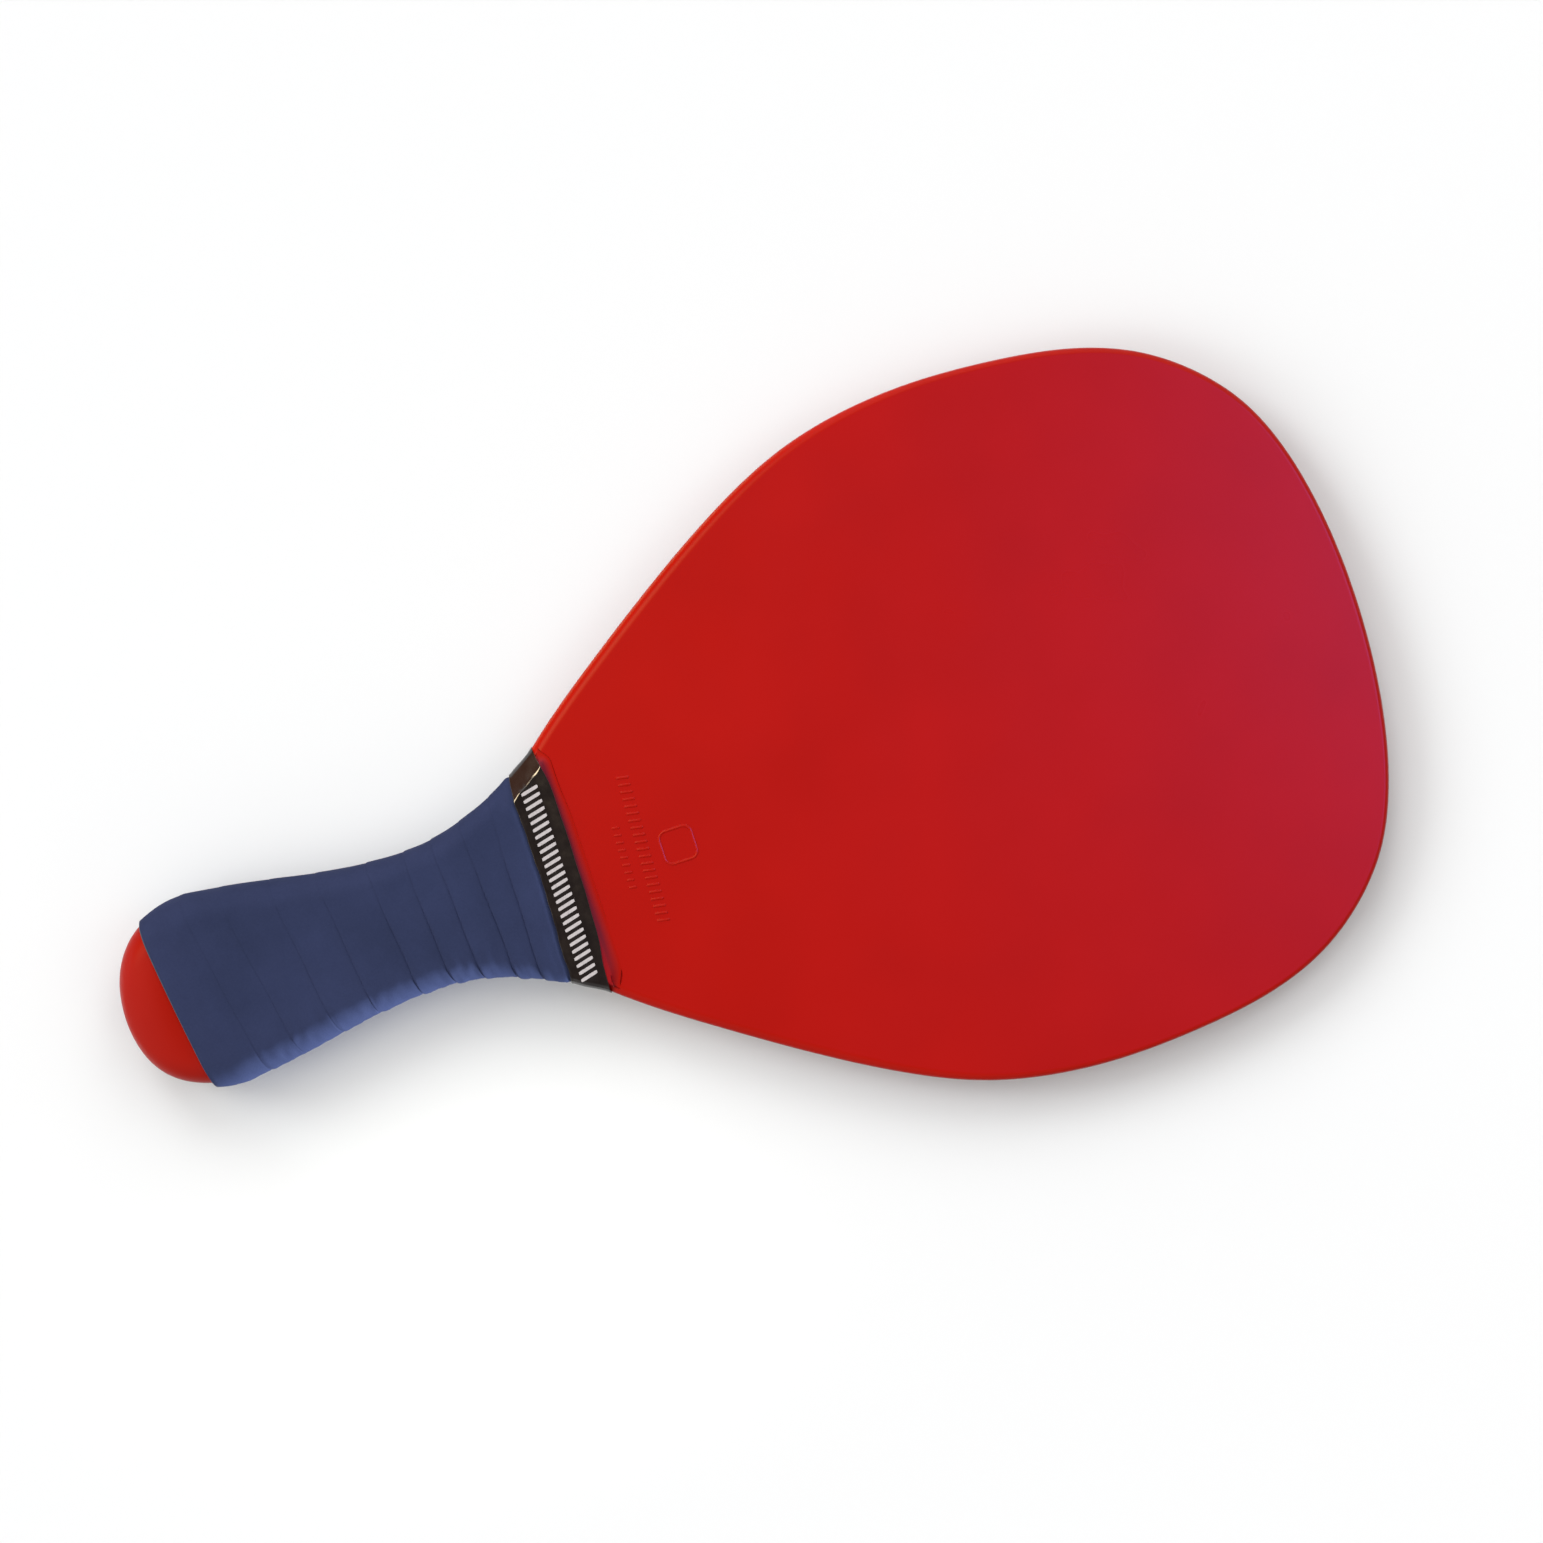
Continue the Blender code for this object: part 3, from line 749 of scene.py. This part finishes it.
# ---------------------------------------------------------- finishing band
band_left_front = Spline([(-36.5, 140.3), (-33.0, 140.9), (-24.0, 141.15), (-12.0, 141.8),
                          (0.0, 142.15), (12.0, 142.2), (24.0, 142.0), (34.0, 142.1),
                          (37.5, 142.3)])
band_left_back = Spline([(-38.0, 140.4), (-15.0, 141.3), (10.0, 141.5), (38.0, 142.7)])
band_right_front = Spline([(-41.0, 151.5), (-36.0, 151.8), (-30.0, 152.3), (-26.0, 152.9),
                           (-17.0, 153.75), (-8.0, 154.15), (0.0, 154.35), (8.0, 154.5),
                           (15.0, 154.55), (23.0, 154.55), (30.0, 154.2), (36.0, 153.2),
                           (42.0, 152.0)])
band_right_back = Spline([(-42.0, 151.8), (-12.0, 153.6), (12.0, 153.9), (42.0, 152.2)])


def band_offset(s):
    """Height of the film's outside over the body: it covers the tape's end,
    then drops to the neck."""
    return mix(1.62, 0.34, smooth(s, 143.0, 151.5))


def band_edges(theta):
    y, z = shell(theta, 147.0, 1.0)
    front = 0.5 + 0.5 * np.clip(z / (core_depth(147.0) + 1.0), -1, 1)
    yy = y * 36.5 / 38.8
    left = mix(band_left_back(yy), band_left_front(yy), front)
    yr = y * 41.5 / 38.8
    right = mix(band_right_back(yr), band_right_front(yr), front)
    left = left + 0.10 * np.sin(9 * theta + 0.4) + 0.06 * np.sin(23 * theta)
    right = right + 0.05 * np.sin(11 * theta + 1.0)
    return left, right


def make_band(mat):
    fine = 2
    turns = np.linspace(0, 2 * math.pi, 150 * fine, endpoint=False)
    ridge = float(crease_turn(147.0, 1.2))
    extra = ridge + np.linspace(-0.10, 0.10, 30 * fine)
    turns = np.unique(np.round(np.concatenate([turns, extra]), 5))
    left, right = band_edges(turns)
    n = len(turns)
    thick = 0.16
    spread = np.concatenate([[0.0, 0.012, 0.03, 0.06], np.linspace(0.1, 0.9, 22),
                             [0.94, 0.97, 0.99, 1.0]])

    def bumps(theta, s, t):
        """Wrinkles of the film on the +Y facet, a ridge along the crease and a
        slightly lifted edge on the tape's side."""
        at = crease_turn(s, band_offset(s))
        d = (theta - at) / HALF_PI * 50.0                 # about millimetres across
        ridge_h = 0.13 * np.exp(-(d / 0.7) ** 2) * (0.6 + 0.4 * np.sin(1.3 * (s - 143)))
        side = smooth(theta, 0.02, 0.10) * (1 - smooth(theta, at - 0.03, at))
        folds = (0.05 * np.sin(0.9 * (s - 141) + 1.4 * np.sin(9 * theta))
                 + 0.012 * np.sin(3.1 * (s - 141) - 22 * theta)) * side
        lift = 0.16 * (1 - smooth(t, 0.0, 0.07)) * (0.6 + 0.4 * np.sin(9 * theta + 1.0))
        return ridge_h + folds + lift

    outer, inner = [], []
    for t in spread:
        s = mix(left, right, t)
        off = band_offset(s) + bumps(turns, s, t)
        round_edge = 0.05 * (1 - min(1.0, min(t, 1 - t) / 0.012)) if t in (0.0, 1.0) else 0.0
        y, z = shell(turns, s, off - round_edge)
        outer.append(np.column_stack([s, y, z]))
        y, z = shell(turns, s, off - thick)
        inner.append(np.column_stack([s, y, z]))
    rings = outer + inner[::-1]
    points = np.concatenate(rings)
    faces = grid_faces(len(rings), n, wrap_rows=True)
    band = add_mesh("band_film_skin", points, faces, 50)
    band.data.materials.append(mat)
    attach(band, "root")
    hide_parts("finishing_band")
    return band


def make_print(mat):
    """A plain row of evenly spaced slanted bars printed on the film."""
    parts = []
    count = 27
    for i in range(count):
        y0 = 29.6 - 63.0 * i / (count - 1)
        centre = 147.30 + 0.014 * y0
        tall, wide, lean = 5.7, 1.12, 0.22
        rows = 9
        top, low = [], []
        for k in range(rows):
            t = k / (rows - 1) - 0.5
            s = centre + tall * t
            squeeze = 1.0 - 0.25 * (abs(t) > 0.49)
            for side in (-0.5, 0.5):
                y = y0 + lean * tall * t + side * wide * squeeze
                z = float(core_depth(s) + band_offset(s))
                top.append((s, y, z + 0.045))
                low.append((s, y, z + 0.004))
        p = top + low
        m = len(top)
        f = []
        for k in range(rows - 1):
            a = 2 * k
            f.append((a, a + 1, a + 3, a + 2))
            f.append((m + a + 2, m + a + 3, m + a + 1, m + a))
            f.append((a, a + 2, m + a + 2, m + a))
            f.append((a + 3, a + 1, m + a + 1, m + a + 3))
        f.append((1, 0, m, m + 1))
        e = 2 * rows - 2
        f.append((e, e + 1, m + e + 1, m + e))
        parts.append((p, f))
    bars = joined("band_print", parts, 30)
    bars.data.materials.append(mat)
    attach(bars, "root")
    return bars


# --------------------------------------------------------------- materials
class Nodes:
    """A small helper for building a material's nodes."""

    def __init__(self, name):
        self.mat = bpy.data.materials.new(name)
        self.mat.use_nodes = True
        self.tree = self.mat.node_tree
        self.shader = self.tree.nodes["Principled BSDF"]
        self.coord = self.tree.nodes.new("ShaderNodeTexCoord").outputs["Object"]

    def node(self, kind, **values):
        made = self.tree.nodes.new(kind)
        for key, value in values.items():
            setattr(made, key, value)
        return made

    def link(self, a, b):
        self.tree.links.new(a, b)

    def noise(self, scale, detail=3.0, rough=0.5, stretch=None, distort=0.0):
        made = self.node("ShaderNodeTexNoise")
        made.inputs["Scale"].default_value = scale
        made.inputs["Detail"].default_value = detail
        made.inputs["Roughness"].default_value = rough
        made.inputs["Distortion"].default_value = distort
        if stretch:
            mapping = self.node("ShaderNodeMapping")
            mapping.inputs["Scale"].default_value = stretch
            self.link(self.coord, mapping.inputs["Vector"])
            self.link(mapping.outputs["Vector"], made.inputs["Vector"])
        else:
            self.link(self.coord, made.inputs["Vector"])
        return made.outputs["Fac"]

    def voronoi(self, scale, feature="F1"):
        made = self.node("ShaderNodeTexVoronoi", feature=feature)
        made.inputs["Scale"].default_value = scale
        self.link(self.coord, made.inputs["Vector"])
        return made.outputs["Distance"]

    def ramp(self, fac, stops):
        made = self.node("ShaderNodeValToRGB")
        ramp = made.color_ramp
        while len(ramp.elements) < len(stops):
            ramp.elements.new(0.5)
        for element, (at, colour) in zip(ramp.elements, stops):
            element.position = at
            element.color = colour if len(colour) == 4 else (*colour, 1.0)
        self.link(fac, made.inputs["Fac"])
        return made.outputs["Color"]

    def scale(self, fac, low, high, start=0.0, end=1.0):
        made = self.node("ShaderNodeMapRange")
        made.inputs["From Min"].default_value = start
        made.inputs["From Max"].default_value = end
        made.inputs["To Min"].default_value = low
        made.inputs["To Max"].default_value = high
        self.link(fac, made.inputs["Value"])
        return made.outputs["Result"]

    def sum(self, a, b, weight):
        made = self.node("ShaderNodeMath", operation="MULTIPLY_ADD")
        self.link(b, made.inputs[0])
        made.inputs[1].default_value = weight
        self.link(a, made.inputs[2])
        return made.outputs[0]

    def bump(self, height, distance, strength=1.0, after=None):
        made = self.node("ShaderNodeBump")
        made.inputs["Strength"].default_value = strength
        made.inputs["Distance"].default_value = distance
        self.link(height, made.inputs["Height"])
        if after is not None:
            self.link(after, made.inputs["Normal"])
        return made.outputs["Normal"]

    def set(self, socket, value):
        if hasattr(value, "is_linked"):
            self.link(value, self.shader.inputs[socket])
        else:
            self.shader.inputs[socket].default_value = value


def red_plastic(name, base, rough, shine, painted_ramp_shade=None):
    """Satin red moulding. The last colour, when given, is painted onto the ramp
    beside the film, more of it with height and less of it towards -Y: painted
    shade, with a purple painted reflection of the dark film."""
    n = Nodes(name)
    cloud = n.noise(26.0, 2.0, 0.5)
    dark = tuple(c * 0.925 for c in base)
    light = tuple(c * 1.07 for c in base)
    tone = n.ramp(cloud, [(0.12, dark), (0.88, light)])
    # painted shade and painted reflection: the ramp turns dark purple towards the film's edge
    if painted_ramp_shade:
        split = n.node("ShaderNodeSeparateXYZ")
        n.link(n.coord, split.inputs[0])
        above = n.node("ShaderNodeMath", operation="SUBTRACT")
        n.link(split.outputs["Z"], above.inputs[0])
        above.inputs[1].default_value = HALF_DEPTH / 1000
        size = n.node("ShaderNodeMath", operation="ABSOLUTE")
        n.link(above.outputs[0], size.inputs[0])
        rise = n.scale(size.outputs[0], 0.0, 1.0, BLADE_HALF / 1000, 0.0046)
        wander = n.sum(rise, n.noise(120.0, 3.0, 0.6), 0.22)
        painted_shade_amount = n.node("ShaderNodeMath", operation="MULTIPLY")
        n.link(n.scale(wander, 0.0, 1.0, 0.10, 1.0), painted_shade_amount.inputs[0])
        n.link(n.scale(split.outputs["Y"], 0.40, 1.0, -0.036, -0.022), painted_shade_amount.inputs[1])
        blend = n.node("ShaderNodeMix", data_type="RGBA")
        n.link(painted_shade_amount.outputs[0], blend.inputs["Factor"])
        n.link(tone, blend.inputs[6])
        blend.inputs[7].default_value = (*painted_ramp_shade, 1.0)
        tone = blend.outputs[2]
    n.set("Base Color", tone)
    scuff = n.noise(34.0, 2.0, 0.5)
    n.set("Roughness", n.scale(scuff, rough - 0.015, rough + 0.025, 0.1, 0.9))
    wave = n.bump(n.noise(14.0, 2.0, 0.4), 0.0012, 0.06)
    n.set("Normal", n.bump(n.noise(260.0, 1.0, 0.4), 0.00004, 0.10, wave))
    n.set("Specular IOR Level", shine)
    return n.mat


def blue_tape(name):
    n = Nodes(name)
    cloud = n.noise(38.0, 4.0, 0.6)
    speck = n.noise(1500.0, 2.0, 0.5)
    tone = n.sum(cloud, speck, 0.35)
    n.set("Base Color", n.ramp(tone, [(0.40, (0.0392, 0.0525, 0.122)),
                                      (0.95, (0.0535, 0.0700, 0.166))]))
    n.set("Roughness", n.scale(n.noise(90.0, 3.0, 0.6), 0.72, 0.84, 0.3, 0.7))
    pores = n.bump(n.noise(1700.0, 3.0, 0.6), 0.00010, 0.55)
    soft = n.bump(n.noise(160.0, 3.0, 0.5), 0.00035, 0.35, pores)
    n.set("Normal", soft)
    n.set("Specular IOR Level", 0.08)
    return n.mat


def cut_edge(name):
    n = Nodes(name)
    speck = n.noise(1300.0, 3.0, 0.6)
    n.set("Base Color", n.ramp(speck, [(0.30, (0.030, 0.095, 0.135)),
                                       (0.75, (0.055, 0.170, 0.215))]))
    n.set("Roughness", 0.7)
    n.set("Normal", n.bump(n.noise(2200.0, 2.0, 0.5), 0.00008, 0.5))
    return n.mat


def black_film(name):
    n = Nodes(name)
    cloud = n.noise(120.0, 3.0, 0.6)
    n.set("Base Color", n.ramp(cloud, [(0.35, (0.0056, 0.0036, 0.0040)),
                                       (0.75, (0.0082, 0.0055, 0.0058))]))
    n.set("Roughness", n.scale(n.noise(240.0, 4.0, 0.6), 0.13, 0.22, 0.3, 0.7))
    soft = n.bump(n.noise(420.0, 3.0, 0.55), 0.00005, 0.35)
    n.set("Normal", soft)
    n.set("Specular IOR Level", 0.75)
    return n.mat


def white_ink(name):
    n = Nodes(name)
    wear = n.noise(1100.0, 4.0, 0.65)
    n.set("Base Color", n.ramp(wear, [(0.28, (0.47, 0.44, 0.44)),
                                      (0.52, (0.60, 0.56, 0.56))]))
    n.set("Roughness", n.scale(wear, 0.32, 0.5, 0.3, 0.7))
    n.set("Normal", n.bump(wear, 0.00003, 0.3))
    return n.mat


def dowel_plastic(name):
    n = Nodes(name)
    grain = n.noise(500.0, 3.0, 0.5, stretch=(1.0, 1.0, 0.06))
    n.set("Base Color", n.ramp(grain, [(0.3, (0.66, 0.64, 0.56)), (0.7, (0.76, 0.74, 0.66))]))
    n.set("Roughness", 0.48)
    n.set("Normal", n.bump(grain, 0.00005, 0.3))
    return n.mat


# ------------------------------------------------------------------- build
red = red_plastic("blade_red", (0.462, 0.0068, 0.0014), 0.28, 0.12)
# the scales' last colour is painted shade and a painted purple reflection of the film on the ramp
red_scale = red_plastic("scale_red", (0.455, 0.0085, 0.0040), 0.30, 0.14, (0.20, 0.0110, 0.032))
red_cap = red_plastic("cap_red", (0.445, 0.0100, 0.0030), 0.32, 0.10)
make_blade(red)
make_scale("scale_skin_front", 1, red_scale)
make_scale("scale_skin_back", -1, red_scale)
make_cap(red_cap)
make_tape(blue_tape("grip_blue"), cut_edge("grip_cut_edge"))
make_band(black_film("film_black"))
make_print(white_ink("ink_white"))
dowel = dowel_plastic("dowel_natural")
for i in (1, 2, 3):
    pin = frame["nodes"]["tang_pin_%d" % i]
    pin.data.materials.clear()
    pin.data.materials.append(dowel)

# ------------------------------------------------------------- camera
camera = bpy.data.objects.new("camera", bpy.data.cameras.new("camera"))
bpy.context.scene.collection.objects.link(camera)
camera.data.sensor_width = 36.0
camera.data.lens = 65.029
camera.data.clip_start = 0.05
camera.data.clip_end = 20.0
camera.matrix_world = (Matrix.Translation((0.013191, 0.104571, 0.906424))
                       @ Matrix.Rotation(math.radians(-6.0), 4, "X")
                       @ Matrix.Rotation(math.radians(-18.1816), 4, "Z"))
bpy.context.scene.camera = camera

# --------------------------------------------------------- floor and light
def make_floor():
    """A level floor under the fattest part of the handle."""
    rows = np.linspace(20.0, 140.0, 121)
    low = -float(np.max(core_depth(rows))) - TAPE_BASE - 2.12
    far = 3000.0
    corners = [(210 - far, -far, low), (210 + far, -far, low), (210 + far, far, low),
               (210 - far, far, low)]
    mesh = bpy.data.meshes.new("floor")
    mesh.from_pydata(place(corners).tolist(), [], [(0, 1, 2, 3)])
    made = bpy.data.objects.new("floor", mesh)
    bpy.context.scene.collection.objects.link(made)
    made.visible_diffuse = False
    made.visible_shadow = False
    n = Nodes("floor_white")
    n.set("Base Color", (0.86, 0.86, 0.86, 1.0))
    n.set("Roughness", 0.9)
    n.set("Specular IOR Level", 0.0)
    mesh.materials.append(n.mat)
    return made


floor = make_floor()

scene = bpy.context.scene
scene.view_settings.view_transform = "Standard"
scene.view_settings.look = "None"
scene.view_settings.exposure = 0.0
scene.view_settings.gamma = 1.0


def make_world():
    """A studio dome under a dark ceiling, brightest behind the +Y side, with a
    patch of dark brown wall. The camera sees it plain white."""
    world = bpy.data.worlds.new("studio")
    scene.world = world
    world.use_nodes = True
    tree = world.node_tree
    back = tree.nodes["Background"]
    coord = tree.nodes.new("ShaderNodeTexCoord").outputs["Generated"]

    def math_node(op, *values):
        made = tree.nodes.new("ShaderNodeMath")
        made.operation = op
        for i, v in enumerate(values):
            if isinstance(v, (int, float)):
                made.inputs[i].default_value = v
            else:
                tree.links.new(v, made.inputs[i])
        return made.outputs[0]

    def toward(direction):
        dot = tree.nodes.new("ShaderNodeVectorMath")
        dot.operation = "DOT_PRODUCT"
        tree.links.new(coord, dot.inputs[0])
        dot.inputs[1].default_value = direction
        return dot.outputs["Value"]

    def fade(value, start, end, low, high):
        made = tree.nodes.new("ShaderNodeMapRange")
        made.interpolation_type = "SMOOTHSTEP"
        for name, v in (("From Min", start), ("From Max", end), ("To Min", low), ("To Max", high)):
            made.inputs[name].default_value = v
        tree.links.new(value, made.inputs["Value"])
        return made.outputs["Result"]

    ceiling = fade(toward(Vector((0.05, -0.12, 1.0)).normalized()),
                   math.cos(math.radians(36)), math.cos(math.radians(14)), 1.0, CEILING)
    ground = fade(toward((0.0, 0.0, 1.0)), -0.06, 0.02, GROUND, 1.0)
    slope = math_node("MULTIPLY_ADD", toward(Vector((*LIT_FROM, 0.0)).normalized()), DOME_TILT, 1.0)
    light = math_node("MULTIPLY", math_node("MULTIPLY", slope, DOME), math_node("MULTIPLY", ceiling, ground))
    hue = tree.nodes.new("ShaderNodeVectorMath")
    hue.operation = "SCALE"
    hue.inputs[0].default_value = (1.0, 1.0, 1.0)
    tree.links.new(light, hue.inputs["Scale"])
    wall = tree.nodes.new("ShaderNodeMix")
    wall.data_type = "RGBA"
    tree.links.new(fade(toward(Vector(WARM_AT).normalized()), math.cos(math.radians(30)),
                        math.cos(math.radians(15)), 0.0, 1.0), wall.inputs["Factor"])
    tree.links.new(hue.outputs["Vector"], wall.inputs[6])
    wall.inputs[7].default_value = (*WARM, 1.0)
    tree.links.new(wall.outputs[2], back.inputs["Color"])
    seen = tree.nodes.new("ShaderNodeBackground")
    seen.inputs["Color"].default_value = (1.0, 1.0, 1.0, 1.0)
    pick = tree.nodes.new("ShaderNodeMixShader")
    path = tree.nodes.new("ShaderNodeLightPath")
    tree.links.new(path.outputs["Is Camera Ray"], pick.inputs[0])
    tree.links.new(back.outputs[0], pick.inputs[1])
    tree.links.new(seen.outputs[0], pick.inputs[2])
    tree.links.new(pick.outputs[0], tree.nodes["World Output"].inputs["Surface"])


def receivers(name, objects):
    group = bpy.data.collections.new(name)
    for o in objects:
        group.objects.link(o)
    return group


def add_sun(name, toward, strength, angle, colour, only):
    """Even light from a direction, for the named pieces alone."""
    lamp = bpy.data.lights.new(name, "SUN")
    lamp.energy = strength
    lamp.angle = math.radians(angle)
    lamp.color = colour
    obj = bpy.data.objects.new(name, lamp)
    bpy.context.scene.collection.objects.link(obj)
    obj.rotation_mode = "QUATERNION"
    obj.rotation_quaternion = Vector(toward).to_track_quat("Z", "Y")
    obj.light_linking.receiver_collection = only
    return obj


def add_panel(name, where, aim, size, power, colour, only):
    """A square soft box."""
    lamp = bpy.data.lights.new(name, "AREA")
    lamp.energy = power
    lamp.size = size
    lamp.color = colour
    obj = bpy.data.objects.new(name, lamp)
    bpy.context.scene.collection.objects.link(obj)
    obj.location = where
    obj.rotation_mode = "QUATERNION"
    obj.rotation_quaternion = (Vector(where) - Vector(aim)).to_track_quat("Z", "Y")
    obj.light_linking.receiver_collection = only
    return obj


LIT_FROM = (-0.45, 0.89)
DOME, DOME_TILT, CEILING, GROUND = 0.95, 0.80, 0.12, 0.12
WARM_AT, WARM = (-0.56, 0.72, 0.395), (0.50, 0.21, 0.12)
make_world()
reds = [o for o in bpy.context.scene.objects
        if o.name in ("blade_skin", "scale_skin_front", "scale_skin_back")]
cap = [bpy.data.objects["cap_skin"]]
blues = [bpy.data.objects["tape_winding"]]
film = [bpy.data.objects["band_film_skin"]]
on_floor = receivers("floor_only", [floor])
on_red = receivers("red_only", reds)
on_blade = receivers("blade_only", [bpy.data.objects["blade_skin"]])
on_cap = receivers("cap_only", cap)
on_film = receivers("film_only", film)
on_print = receivers("print_only", [bpy.data.objects["band_print"]])
on_blue = receivers("blue_only", blues)
for turn, strength, hue in ((0.0, 0.17, (1.0, 1.0, 1.0)), (45.0, 0.47, (1.0, 1.0, 1.0)),
                            (90.0, 0.78, (1.0, 1.02, 1.03)), (135.0, 1.12, (1.0, 1.10, 1.13)),
                            (180.0, 0.36, (1.0, 1.02, 1.03))):
    a = math.radians(turn)
    add_sun("floor_sun", (math.cos(a), math.sin(a), math.tan(math.radians(28.0))), strength,
            26.0, hue, on_floor)
add_panel("key", (-0.33, 0.32, 0.87), (0.05, 0.0, 0.0), 0.45, 3.6, (1.0, 0.62, 0.24), on_red)
add_panel("cap_key", (-0.62, 0.45, 0.62), (-0.19, 0.0, 0.0), 0.45, 2.35, (1.0, 0.55, 0.22), on_cap)
add_panel("film_key", (-0.344, 0.344, 0.85), (-0.06, 0.03, 0.012), 0.45, 13.0, (1.0, 0.80, 0.50), on_film)
add_sun("print_key", (-0.45, 0.45, 0.75), 1.85, 20.0, (1.0, 0.98, 0.98), on_print)
add_sun("cool_overhead", (0.40, -0.10, 0.91), 1.72, 20.0, (0.03, 0.25, 1.0), on_blade)
add_sun("rim_pink", (0.90, -0.42, -0.25), 0.4, 26.0, (0.80, 0.50, 0.60), on_blade)
add_sun("rim_orange", (-0.56, 0.81, -0.26), 2.6, 30.0, (0.35, 0.50, 0.18), on_blade)
pool = add_panel("floor_pool", (-0.125, -0.125, 0.08), (-0.12, -0.055, 0.0), 0.05, 0.016,
                 (1.0, 0.98, 0.80), on_floor)
pool.visible_camera = False
add_sun("cool_side", (0.60, -0.79, -0.07), 5.7, 16.0, (0.92, 1.0, 1.1), on_blue)
